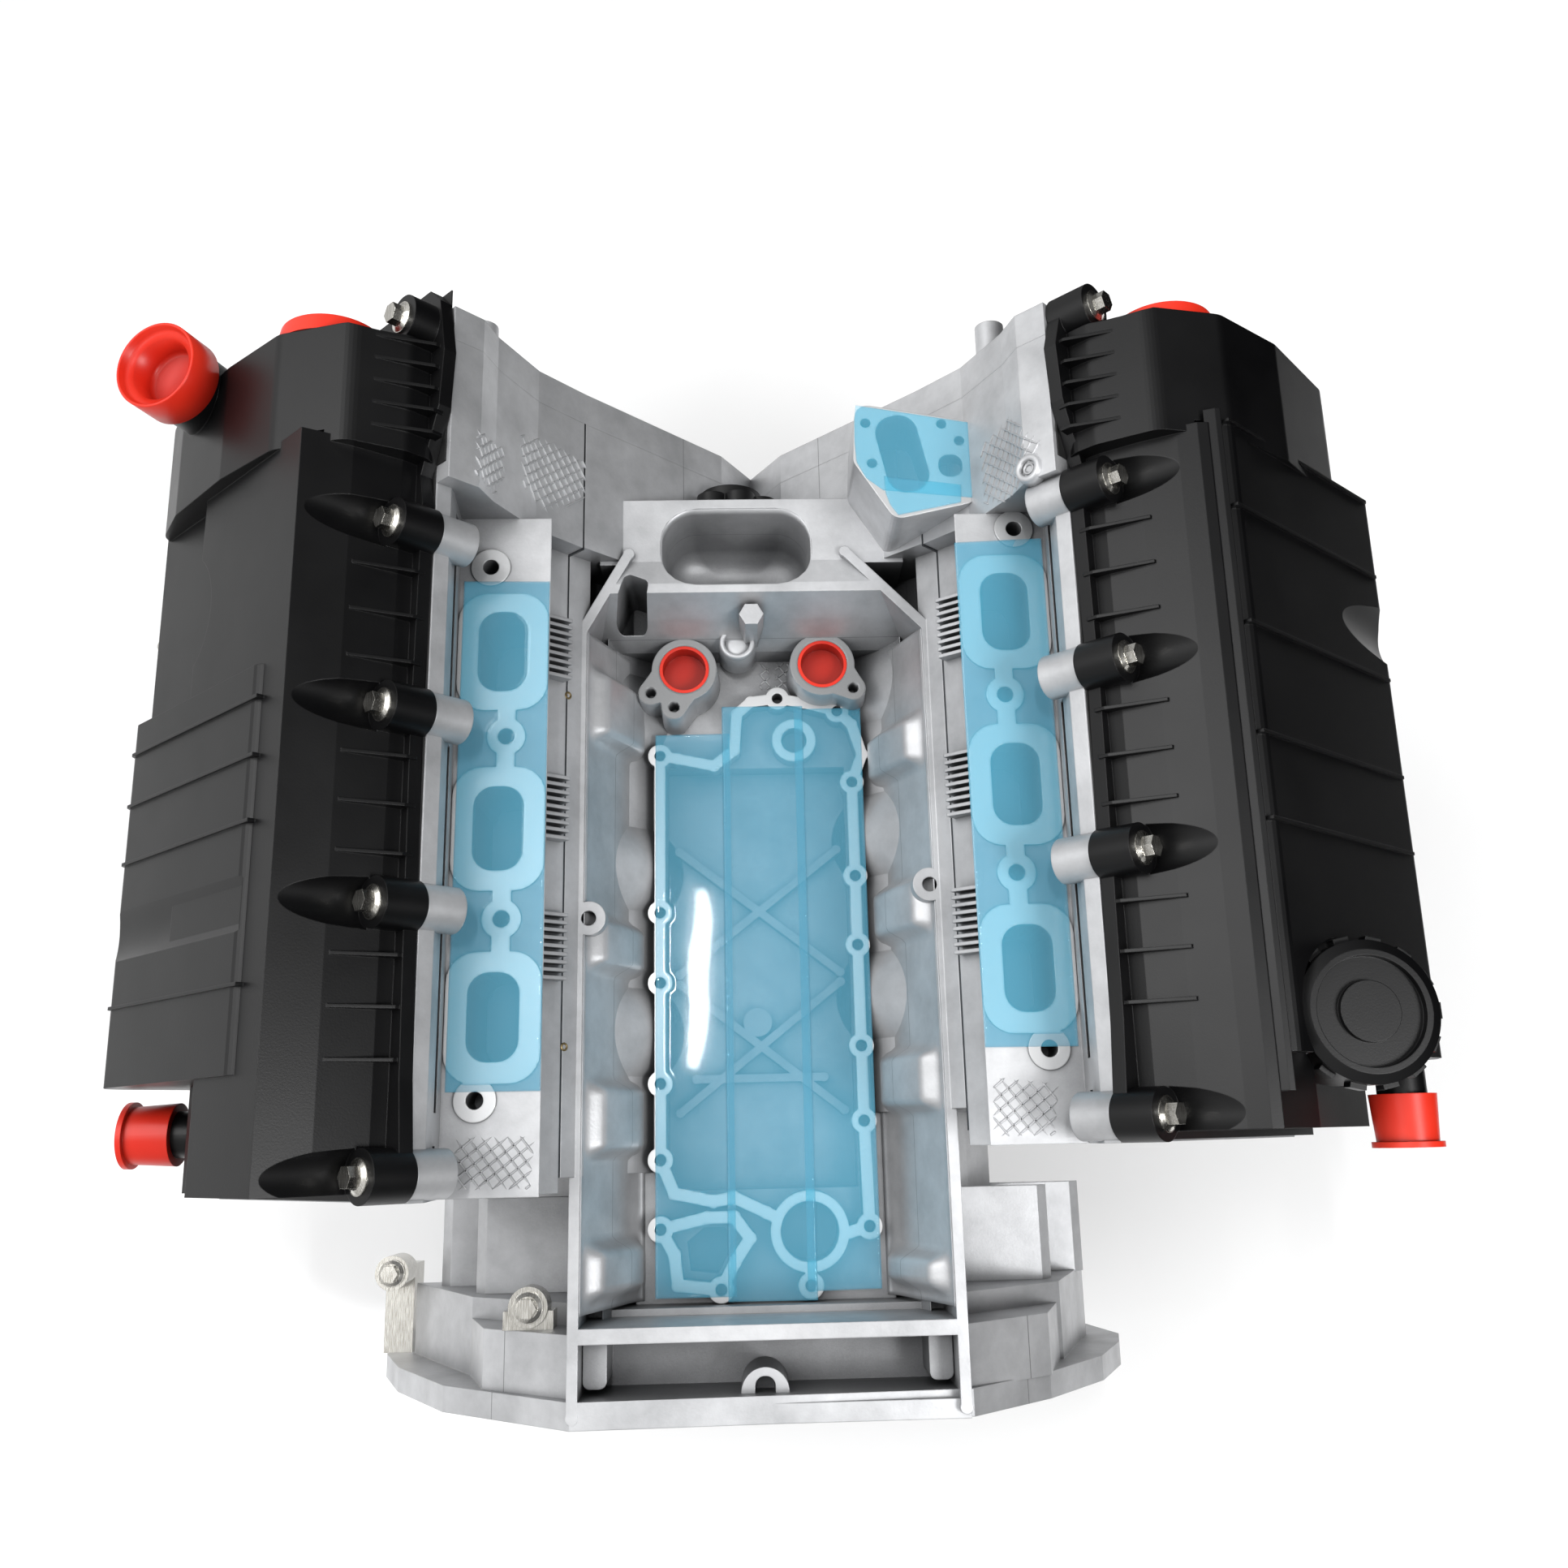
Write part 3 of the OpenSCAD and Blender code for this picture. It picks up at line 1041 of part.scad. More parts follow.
// Outlines of a cover across the bank. The low outline runs its whole length, the high one is
// the raised lid of the oil separator, the dome goes over the timing drive and the rear one is
// the lower end behind the lid.
low_pts = [[[-104, cover_base_u], [88, cover_base_u], [88, 352], [84, 378.5], [77, left_top_u],
        [-30, left_top_u], [-36, left_top_u - recess_depth], [-100, left_top_u - recess_depth], [-104, left_top_u - 12]],
    [[-112, cover_base_u], [88, cover_base_u], [88, 352], [84, 372], [78, right_top_u - 18], [74, right_top_u - 8],
        [70, right_top_u - 4], [-98, right_top_u], [-112, right_top_u - 18]]];
high_pts = [[[-104, cover_base_u], [57, cover_base_u], [57, left_top_u + lid_step], [-92, left_top_u + lid_step],
        [-103, left_top_u - 3], [-107, left_top_u - 14]],
    [[-116, cover_base_u], [62, cover_base_u], [62, right_top_u + lid_step], [-95, right_top_u + 14],
        [-112, right_top_u + 5], [-116, right_top_u - 16]]];
high_y = [[-130, 72], [-150, 178]];
rear_pts = [[[-78, cover_base_u], [88, cover_base_u], [88, 352], [84, 378.5], [77, left_top_u], [12, left_top_u],
        [6, 372], [-64, 372], [-78, 358]],
    [[-106, cover_base_u], [88, cover_base_u], [88, 352], [84, 372], [78, right_top_u - 18], [74, right_top_u - 8],
        [70, right_top_u - 4], [30, right_top_u - 4], [24, 380], [-96, 380], [-106, 368]]];
rear_step_y = [-130, -150];
dome_pts = [[[-106, cover_base_u], [98, cover_base_u], [98, 356], [88, 386], [50, 407], [0, 411], [-60, 409],
        [-94, 401], [-106, 382]],
    [[-110, cover_base_u], [98, cover_base_u], [98, 356], [89, 388], [54, 412], [4, 420], [-64, 417],
        [-98, 405], [-110, 382]]];
notch_r = 38;
notch_at = [-52, 123];
trough = [[-49, 404 + 21], [92, 420 + 21]];
trough_r = 23;
lid_rib_y = [[54, 24, -9, -88], [176, 128, 64, 6, -38]];
plug_at = [48, 374.5];
rib_t = 1.8;

module cover_outer(i, yd, y1) {
    difference() {
        prism(low_pts[i], rear_step_y[i], yd + 4);
        if (i == 0) translate([notch_at[0], notch_at[1], left_top_u - recess_depth]) cylinder(h = 30, r = notch_r, $fn = fn_fine);
    }
    prism(rear_pts[i], cover_rear_y + 4, rear_step_y[i] + 4);
    difference() {
        prism(rounded(high_pts[i], 8), high_y[i][0], high_y[i][1]);
        lid_trough(i, 0);
    }
    prism(rounded(dome_pts[i], 14), yd, dome_front_y[i]);
}

// Shallow trough across the lid; grown by g for the inner side of the wall
module lid_trough(i, g) {
    translate([-140, trough[i][0], trough[i][1] - i * 6]) rotate([0, 90 - i * 5, 0]) cylinder(h = i == 0 ? 192 : 200, r = trough_r + g, $fn = fn_fine);
}

module lid_ribs(i) {
    for (y = lid_rib_y[i]) translate([0, y, 0]) prism(i == 0
        ? [[-96, left_top_u], [57, left_top_u], [57, left_top_u + lid_step + 1.5], [-92, left_top_u + lid_step + 1.5]]
        : [[-100, right_top_u + 8], [62, right_top_u], [62, right_top_u + lid_step + 1.5], [-92, right_top_u + 15.3]],
        -rib_t / 2, rib_t / 2);
    if (i == 1) prism([[62, right_top_u - 6], [70, right_top_u - 6], [67.5, right_top_u - 0.5], [65.5, right_top_u + 1.5], [63.5, right_top_u - 0.5]], -168, 182);
}

module cover_inner(i, yd, y1) {
    difference() {
        prism(inset(low_pts[i], cover_wall), rear_step_y[i] + cover_wall, yd + 4 + cover_wall);
        if (i == 0) translate([notch_at[0], notch_at[1], left_top_u - recess_depth - cover_wall])
            cylinder(h = 30, r = notch_r + cover_wall, $fn = fn_fine);
    }
    prism(inset(rear_pts[i], cover_wall), cover_rear_y + 4 + cover_wall, rear_step_y[i] + 4 + cover_wall);
    difference() {
        prism(inset(high_pts[i], cover_wall + 0.5), high_y[i][0] + cover_wall, high_y[i][1] - cover_wall);
        lid_trough(i, cover_wall);
    }
    prism(inset(dome_pts[i], cover_wall + 1), yd + cover_wall, dome_front_y[i] - cover_wall);
}

module cam_cover(side) {
    i = front_i(side);
    y1 = cover_front_y[i];
    yd = dome_rear_y - bank_shift(side);
    color("dimgray") difference() {
        union() {
            on_bank(side) {
                difference() {
                    union() {
                        cover_outer(i, yd, y1);
                        translate([0, 0, cover_base_u]) linear_extrude(flange_t) polygon(cover_flange(i));
                        lid_ribs(i);
                    }
                    cover_inner(i, yd, y1);
                    slab([-90, cover_rear_y + 8, cover_base_u - 1], [80, y1 - 6, cover_base_u + 5]);
                    slab([-chain_room_v, yd + 4, cover_base_u - 1], [chain_room_v, y1 - 6, cover_base_u + 6]);
                }
                intersection() {
                    cover_outer(i, yd, y1);
                    for (y = bolts_of(side)) translate([bolt_v, y, cover_base_u]) cylinder(h = 90, r = well_r + cover_wall, $fn = fn_fine);
                }
                for (y = bolts_of(side)) translate([bolt_v, y, cover_base_u]) cylinder(h = boss_h - cover_gasket_t, d = 26, $fn = fn_fine);
                for (y = cover_bolt_y) for (j = [1:3]) if (y > cover_rear_y + 40) cover_rib(y - j * cyl_pitch / 4);
                for (j = [0:4]) dome_rib(yd + 12 + j * 13);
            }
            if (side > 0) intersection() {
                on_bank(side) cover_outer(i, yd, y1);
                on_breather() breather_seat(90, breather_seat_r + cover_wall);
            }
            cover_extras(side);
        }
        on_bank(side) {
            for (y = bolts_of(side)) {
                translate([bolt_v, y, boss_u]) cylinder(h = 90, r = well_r, $fn = fn_fine);
                translate([bolt_v, y, cover_base_u - 1]) cylinder(h = 40, d = bolt_d + 0.8, $fn = 24);
            }
            rod(front_plug_d / 2 - 2, dome_front_y[i] - 12, dome_front_y[i] + 1, plug_at[0], plug_at[1]);
        }
        if (side < 0) on_filler() translate([0, 0, 4]) cylinder(h = filler_len, r = filler_r - 3, $fn = fn_fine);
        else on_breather() cylinder(h = 60, r = breather_seat_r, $fn = fn_fine);
        on_spigot(side) translate([0, 0, -20]) cylinder(h = spigot_len + 24, r = spigot_r - 2.5, $fn = fn_fine);
    }
}

// Edge of a cover's flange: it swells out beside the timing drive
function cover_flange(i) = let (d = front_i_shift(i)) [[-106, cover_rear_y], [88, cover_rear_y], [101, -179], [97, -133],
    [95, -57], [93, 41], [95, 166 - d], [92, 183 - d], [107, 219 - d], [110, 251 - d], [104, cover_front_y[i] - 10],
    [94, cover_front_y[i]], [-108, cover_front_y[i]]];
function front_i_shift(i) = i == 1 ? bank_offset : 0;

// Thin triangular rib between the cover's flange and its inner wall
module cover_rib(y) {
    prism([[84, cover_base_u + 4], [95, cover_base_u + 4], [95, cover_base_u + 10], [84.5, 376], [82, 376]], y - rib_t / 2, y + rib_t / 2);
}

// Ribs on the dome's lower facet, above the swollen flange
module dome_rib(y) {
    prism([[92, cover_base_u + 4], [106, cover_base_u + 4], [106, cover_base_u + 10], [90, 378], [84, 378]], y - rib_t / 2, y + rib_t / 2);
}

function spigot_root(side) = side < 0 ? 14 : 24;

module cover_extras(side) {
    if (side < 0) on_filler() cylinder(h = filler_len, r = filler_r, $fn = fn_fine);
    on_spigot(side) translate([0, 0, -spigot_root(side)]) cylinder(h = spigot_len + spigot_root(side), r = spigot_r, $fn = fn_fine);
    if (side > 0) on_breather() breather_seat(36, 34);
}

breather_seat_r = 38.5;

// Seat of the breather: a closed drum below it
module breather_seat(h, r) {
    difference() {
        translate([0, 0, -36]) cylinder(h = h, r = r, $fn = fn_fine);
        translate([0, 0, -33]) cylinder(h = 30, r = r - cover_wall, $fn = fn_fine);
    }
}

module cover_bolts() color("silver") for (side = sides) on_bank(side)
    for (y = bolts_of(side)) translate([bolt_v, y, boss_u])
        flange_bolt(bolt_d, bolt_af, boss_h + 16);

// Tubes along the engine at the inner corners of the front cover: [x, z]
corner_tubes = [[-156, 262], [142, 258]];
tube_r = 8.5;

// Cover of the chain chest: a plate with a rim, up to the cam cover joint of both banks
module front_timing_cover() color("silver") {
    y0 = head_front_y;
    y1 = y0 + 20;
    difference() {
        union() {
            at_mid() difference() {
                union() {
                    both_banks(chest_pts, y0, y1);
                    both_banks([[-96, deck_h - 1], [82, deck_h - 1], [82, head_base_u + 1], [-96, head_base_u + 1]], y0, y1);
                    both_banks(head_front_pts, y0, y1);
                    prism(nose_pts, y0, y1);
                }
                both_banks(inset(chest_pts, chest_wall), y0 - 1, y0 + 13);
                both_banks(inset(head_front_pts, chest_wall), y0 - 1, y0 + 13);
                prism(inset(nose_pts, chest_wall), y0 - 1, y0 + 13);
            }
            at_mid() for (p = corner_tubes) rod(tube_r, y0 + 4, y1 + 18, p[0], p[1]);
            for (side = sides) on_bank(side) {
                intersection() {
                    translate([bolt_v, front_bolt_y[front_i(side)], joint_u - 22]) cylinder(h = 22, d = 24, $fn = fn_fine);
                    slab([0, y0 - bank_shift(side), 0], [150, 400, 400]);
                }
            }
        }
        at_mid() rod(hub_r + body_gap, y0, y1 + 1);
        at_mid() for (p = corner_tubes) rod(tube_r - 3.5, y1 - 2, y1 + 19, p[0], p[1]);
        for (side = sides) on_bank(side) {
            translate([bolt_v, front_bolt_y[front_i(side)], joint_u - 18]) cylinder(h = 20, d = bolt_d + fit_gap, $fn = 24);
        }
    }
}

engine_block();
bedplate();
sump_pan();
cylinder_liners();
head_gaskets();
cylinder_head(left);  // cylinder_head_left
cylinder_head(right);  // cylinder_head_right
cam_cover_gaskets();
cam_cover(left);  // cam_cover_left
cam_cover(right);  // cam_cover_right
cover_bolts();
front_timing_cover();
coolant_housing();
rear_seal_carrier();
main_bearings();
crankshaft();
crank_hub();
crank_sprocket();
piston(left, 1);  // piston_left_1
piston(left, 0);  // piston_left_2
piston(left, -1);  // piston_left_3
piston(right, 1);  // piston_right_1
piston(right, 0);  // piston_right_2
piston(right, -1);  // piston_right_3
camshaft(left, 1);  // camshaft_left_intake
camshaft(left, -1);  // camshaft_left_exhaust
camshaft(right, 1);  // camshaft_right_intake
camshaft(right, -1);  // camshaft_right_exhaust
phaser(left, 1);  // phaser_left_intake
phaser(left, -1);  // phaser_left_exhaust
phaser(right, 1);  // phaser_right_intake
phaser(right, -1);  // phaser_right_exhaust
cam_caps();
valves();
valve_springs();
tappets();
spark_plugs();
timing_chain(left);  // timing_chain_left
timing_chain(right);  // timing_chain_right
chain_guides();
chain_tensioners();
oil_pump();
oil_pickup();
coolant_pump();
port_films();
valley_film();
front_film();
breather_cap();
ball_studs();
rear_brackets();
bracket_bolts();
valley_plug(0);  // valley_plug_left
valley_plug(1);  // valley_plug_right
cover_plug(left);  // cover_plug_left
cover_plug(right);  // cover_plug_right
filler_cap();
spigot_cap(left);  // spigot_cap_left
spigot_cap(right);  // spigot_cap_right
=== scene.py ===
import json
import bmesh
import bpy
import numpy as np
from mathutils import Matrix, Vector


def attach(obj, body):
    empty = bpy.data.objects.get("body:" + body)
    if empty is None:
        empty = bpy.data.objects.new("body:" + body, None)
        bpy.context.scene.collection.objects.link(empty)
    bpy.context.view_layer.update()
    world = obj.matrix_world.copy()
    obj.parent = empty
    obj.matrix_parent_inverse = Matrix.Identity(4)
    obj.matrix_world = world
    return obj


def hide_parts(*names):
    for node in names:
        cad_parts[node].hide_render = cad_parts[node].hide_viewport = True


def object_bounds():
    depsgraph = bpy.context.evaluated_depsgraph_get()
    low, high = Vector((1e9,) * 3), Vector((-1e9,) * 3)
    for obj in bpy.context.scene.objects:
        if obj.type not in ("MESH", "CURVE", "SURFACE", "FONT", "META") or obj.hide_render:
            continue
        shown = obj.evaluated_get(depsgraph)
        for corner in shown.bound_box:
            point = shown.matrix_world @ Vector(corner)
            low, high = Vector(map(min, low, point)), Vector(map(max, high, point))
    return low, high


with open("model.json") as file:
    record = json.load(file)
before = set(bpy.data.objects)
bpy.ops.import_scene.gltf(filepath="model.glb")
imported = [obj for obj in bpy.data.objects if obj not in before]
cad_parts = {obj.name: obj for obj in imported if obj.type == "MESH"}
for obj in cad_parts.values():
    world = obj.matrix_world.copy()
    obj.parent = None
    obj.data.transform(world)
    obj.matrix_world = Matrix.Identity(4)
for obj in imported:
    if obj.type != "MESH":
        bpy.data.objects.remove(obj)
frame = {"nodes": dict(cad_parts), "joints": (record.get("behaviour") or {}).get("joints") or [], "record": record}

cadLow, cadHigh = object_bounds()
mm = 0.001
# the left middle cylinder's station along the crank, which the camera and the pieces are placed from
midY = [j["pos_m"][1] for j in frame["joints"] if j["name"] == "crank_spin"][0]
print("frame loaded with", len(frame["nodes"]), "nodes, middle cylinder at", midY)


# colours are written as sRGB hex and turned to linear here
def linearColour(hexCode):
    parts = [int(hexCode[i:i + 2], 16) / 255 for i in (1, 3, 5)]
    return tuple(c / 12.92 if c <= 0.04045 else ((c + 0.055) / 1.055) ** 2.4 for c in parts) + (1.0,)


# adds one node, sets its values and links its inputs from other nodes' outputs
def addNode(tree, kind, values=None, links=None, **settings):
    node = tree.nodes.new(kind)
    for name, value in settings.items():
        setattr(node, name, value)
    for name, value in (values or {}).items():
        node.inputs[name].default_value = value
    for name, (source, output) in (links or {}).items():
        tree.links.new(source.outputs[output], node.inputs[name])
    return node


# a fresh material with its node tree, its shader and the piece's own metres
def newMaterial(name):
    material = bpy.data.materials.new(name)
    material.use_nodes = True
    tree = material.node_tree
    return material, tree, tree.nodes["Principled BSDF"], addNode(tree, "ShaderNodeTexCoord")


def setRamp(ramp, stops):
    for element, (position, colour) in zip(ramp.color_ramp.elements, stops):
        element.position = position
        element.color = linearColour(colour)


# heights in millimetres above the crank axis that the solids are milled or cast at
levels = {"valleyFloor": 128.0, "gasketLand": 140.0, "collar": 160.15,
          "coolantFace": 248.0, "headSide": 258.8, "portFace": 260.2}

# Camera at the photograph's angle: place, direction and up are worked out from the bore spacing
cameraSettings = {"place": (-8.31, -164.69, 988.85), "forward": (0.02897, 0.24766, -0.96841),
                  "up": (0.01657, 0.96857, 0.24821), "lens": 31.90, "sensor": 36.0, "clipEnd": 50}


def placeCamera():
    data = bpy.data.cameras.new("photoCamera")
    data.lens = cameraSettings["lens"]
    data.sensor_width = cameraSettings["sensor"]
    data.clip_end = cameraSettings["clipEnd"]
    camera = bpy.data.objects.new("photoCamera", data)
    bpy.context.scene.collection.objects.link(camera)
    forward = Vector(cameraSettings["forward"]).normalized()
    right = forward.cross(Vector(cameraSettings["up"])).normalized()
    rows = Matrix((right, right.cross(forward), -forward)).transposed().to_4x4()
    x, y, z = cameraSettings["place"]
    camera.matrix_world = Matrix.Translation((x * mm, y * mm + midY, z * mm)) @ rows
    bpy.context.scene.camera = camera


placeCamera()
print("camera placed")

# Sand- and die-cast aluminium, shot-blasted: pale grey with a soft shine, a grain of about 1.5 mm, cloudy
# patches and painted shade in its corners and hollows; the faces that are milled afterwards are brighter and
# smoother
# the corner colour is the colour of the painted shade in corners and hollows
castSettings = {"dark": "#acadaf", "light": "#cacbcd", "milled": "#d2d3d4", "collar": "#8b8c8d",
                "corner": "#3e3f41", "paintedShadeMm": 55, "paintedShadeFrom": 0.05, "paintedShadeTo": 0.75,
                "patchMm": 38, "grainMm": 1.5, "grainHeightMm": 0.06, "metallic": 0.55, "roughCast": 0.46,
                "roughMilled": 0.32, "milledGrain": 0.12, "edgeMm": 0.9,
                "milledLevels": ["gasketLand", "coolantFace", "portFace"], "levelBandMm": 0.2, "upright": 0.99}


def castAluminium():
    c = castSettings
    material, tree, shader, place = newMaterial("castAluminium")
    cloud = {"Scale": 1000 / c["patchMm"], "Detail": 5.0, "Roughness": 0.62}
    patches = addNode(tree, "ShaderNodeTexNoise", cloud, {"Vector": (place, "Object")})
    tone = addNode(tree, "ShaderNodeValToRGB", None, {"Fac": (patches, "Fac")})
    setRamp(tone, [(0.30, c["dark"]), (0.66, c["light"])])
    # a face is milled where it looks straight up at one of the machined levels
    where = addNode(tree, "ShaderNodeSeparateXYZ", None, {"Vector": (place, "Object")})
    surface = addNode(tree, "ShaderNodeNewGeometry")
    facing = addNode(tree, "ShaderNodeSeparateXYZ", None, {"Vector": (surface, "True Normal")})
    level = addNode(tree, "ShaderNodeMath", {1: c["upright"]}, {0: (facing, "Z")}, operation="GREATER_THAN")
    band = c["levelBandMm"] * mm
    near = [addNode(tree, "ShaderNodeMath", {1: levels[height] * mm, 2: band}, {0: (where, "Z")},
                    operation="COMPARE")
            for height in c["milledLevels"] + ["collar"]]
    atCollar, onLevel = near.pop(), near.pop(0)
    for other in near:
        onLevel = addNode(tree, "ShaderNodeMath", None, {0: (onLevel, "Value"), 1: (other, "Value")},
                          operation="MAXIMUM")
    milled = addNode(tree, "ShaderNodeMath", None, {0: (level, "Value"), 1: (onLevel, "Value")},
                     operation="MULTIPLY")
    bright = addNode(tree, "ShaderNodeMix", {"B": linearColour(c["milled"])},
                     {"Factor": (milled, "Value"), "A": (tone, "Color")}, data_type="RGBA")
    # the coolant ports' collars are milled too, but stained grey by the sealing paste
    body = addNode(tree, "ShaderNodeMix", {"B": linearColour(c["collar"])},
                   {"Factor": (atCollar, "Value"), "A": (bright, "Result")}, data_type="RGBA")
    # painted shade: corners and hollows of the same solid are darkened towards the corner colour by ambient
    #     # occlusion, standing in for the shade that falls in them
    hollow = addNode(tree, "ShaderNodeAmbientOcclusion", {"Distance": c["paintedShadeMm"] * mm}, samples=6,
                     only_local=True)
    shade = addNode(tree, "ShaderNodeMapRange", {"From Min": c["paintedShadeFrom"], "From Max": c["paintedShadeTo"]},
                    {"Value": (hollow, "AO")})
    colour = addNode(tree, "ShaderNodeMix", {"A": linearColour(c["corner"])},
                     {"Factor": (shade, "Result"), "B": (body, "Result")}, data_type="RGBA")
    tree.links.new(colour.outputs["Result"], shader.inputs["Base Color"])
    rough = addNode(tree, "ShaderNodeMapRange", {"To Min": c["roughCast"], "To Max": c["roughMilled"]},
                    {"Value": (milled, "Value")})
    tree.links.new(rough.outputs["Result"], shader.inputs["Roughness"])
    shader.inputs["Metallic"].default_value = c["metallic"]
    grain = addNode(tree, "ShaderNodeTexNoise", {"Scale": 1000 / c["grainMm"], "Detail": 2.0},
                    {"Vector": (place, "Object")})
    strength = addNode(tree, "ShaderNodeMapRange", {"To Min": 1.0, "To Max": c["milledGrain"]},
                       {"Value": (milled, "Value")})
    edge = addNode(tree, "ShaderNodeBevel", {"Radius": c["edgeMm"] * mm}, samples=4)
    bump = addNode(tree, "ShaderNodeBump", {"Distance": c["grainHeightMm"] * mm},
                   {"Height": (grain, "Fac"), "Strength": (strength, "Result"), "Normal": (edge, "Normal")})
    tree.links.new(bump.outputs["Normal"], shader.inputs["Normal"])
    return material


# Turned, ground and plated metal: brighter and smoother than a casting, with fine tool marks along one axis
metalSettings = {"stretch": 0.06, "marksHeightMm": 0.01, "edgeMm": 0.3, "glossier": 0.06, "duller": 0.08}


def machinedMetal(name, dark, light, rough, marksMm=0.7):
    m = metalSettings
    material, tree, shader, place = newMaterial(name)
    stretch = addNode(tree, "ShaderNodeMapping", {"Scale": (1, m["stretch"], 1)}, {"Vector": (place, "Object")})
    marks = addNode(tree, "ShaderNodeTexNoise", {"Scale": 1000 / marksMm, "Detail": 2.0},
                    {"Vector": (stretch, "Vector")})
    tone = addNode(tree, "ShaderNodeValToRGB", None, {"Fac": (marks, "Fac")})
    setRamp(tone, [(0.35, dark), (0.65, light)])
    tree.links.new(tone.outputs["Color"], shader.inputs["Base Color"])
    spread = {"To Min": rough - m["glossier"], "To Max": rough + m["duller"]}
    gloss = addNode(tree, "ShaderNodeMapRange", spread, {"Value": (marks, "Fac")})
    tree.links.new(gloss.outputs["Result"], shader.inputs["Roughness"])
    shader.inputs["Metallic"].default_value = 1.0
    edge = addNode(tree, "ShaderNodeBevel", {"Radius": m["edgeMm"] * mm}, samples=4)
    bump = addNode(tree, "ShaderNodeBump", {"Distance": m["marksHeightMm"] * mm},
                   {"Height": (marks, "Fac"), "Normal": (edge, "Normal")})
    tree.links.new(bump.outputs["Normal"], shader.inputs["Normal"])
    return material


# Moulded plastics and rubber: one colour with a faint mottling, a fine moulded grain and softened edges, and
# # painted shade down inside cups where asked
plasticSettings = {"patchMm": 45, "edgeMm": 0.7, "glossier": 0.05, "duller": 0.07, "insideShadeMm": 22}


def mouldedPlastic(name, dark, light, rough, grainMm, grainHeightMm, specular=0.5, insideShade=None):
    p = plasticSettings
    material, tree, shader, place = newMaterial(name)
    patches = addNode(tree, "ShaderNodeTexNoise", {"Scale": 1000 / p["patchMm"], "Detail": 3.0},
                      {"Vector": (place, "Object")})
    tone = addNode(tree, "ShaderNodeValToRGB", None, {"Fac": (patches, "Fac")})
    setRamp(tone, [(0.35, dark), (0.65, light)])
    tree.links.new(tone.outputs["Color"], shader.inputs["Base Color"])
    if insideShade:
        # painted shade: the colour turns darker down inside a cup, by ambient occlusion; the rim keeps its tone
        hollow = addNode(tree, "ShaderNodeAmbientOcclusion", {"Distance": p["insideShadeMm"] * mm}, samples=6)
        inside = addNode(tree, "ShaderNodeMix", {"A": linearColour(insideShade)},
                         {"Factor": (hollow, "AO"), "B": (tone, "Color")}, data_type="RGBA")
        tree.links.new(inside.outputs["Result"], shader.inputs["Base Color"])
    spread = {"To Min": rough - p["glossier"], "To Max": rough + p["duller"]}
    gloss = addNode(tree, "ShaderNodeMapRange", spread, {"Value": (patches, "Fac")})
    tree.links.new(gloss.outputs["Result"], shader.inputs["Roughness"])
    shader.inputs["Specular IOR Level"].default_value = specular
    grain = addNode(tree, "ShaderNodeTexNoise", {"Scale": 1000 / grainMm, "Detail": 2.0},
                    {"Vector": (place, "Object")})
    edge = addNode(tree, "ShaderNodeBevel", {"Radius": p["edgeMm"] * mm}, samples=4)
    bump = addNode(tree, "ShaderNodeBump", {"Distance": grainHeightMm * mm},
                   {"Height": (grain, "Fac"), "Normal": (edge, "Normal")})
    tree.links.new(bump.outputs["Normal"], shader.inputs["Normal"])
    return material


# Low-density polyethylene film, blown and tinted blue: clear and glossy, bluer where two strips overlap; its tint
# # is painted paler where it clings to a lit face, and painted darker and denser over the hollows as painted shade
filmSettings = {"hollow": "#62b3d0", "cling": "#5ccbea", "alphaHollow": 0.38, "alphaCling": 0.26, "rough": 0.05,
                "rippleMm": 26, "rippleHeightMm": 0.008, "thickMm": 0.12, "liftMm": 0.15, "stepMm": 1.6}


def clearFilm():
    f = filmSettings
    material, tree, shader, place = newMaterial("bluePolyethyleneFilm")
    cling = addNode(tree, "ShaderNodeAttribute", attribute_name="cling")
    # painted light and shade: the tint goes from a darker, denser blue over hollows to a paler blue where it
    # clings
    colour = addNode(tree, "ShaderNodeMix", {"A": linearColour(f["hollow"]), "B": linearColour(f["cling"])},
                     {"Factor": (cling, "Fac")}, data_type="RGBA")
    tree.links.new(colour.outputs["Result"], shader.inputs["Base Color"])
    density = addNode(tree, "ShaderNodeMapRange", {"To Min": f["alphaHollow"], "To Max": f["alphaCling"]},
                      {"Value": (cling, "Fac")})
    tree.links.new(density.outputs["Result"], shader.inputs["Alpha"])
    shader.inputs["Roughness"].default_value = f["rough"]
    wave = {"Scale": 1000 / f["rippleMm"], "Detail": 1.5, "Roughness": 0.4}
    ripple = addNode(tree, "ShaderNodeTexNoise", wave, {"Vector": (place, "Object")})
    bump = addNode(tree, "ShaderNodeBump", {"Distance": f["rippleHeightMm"] * mm}, {"Height": (ripple, "Fac")})
    tree.links.new(bump.outputs["Normal"], shader.inputs["Normal"])
    return material


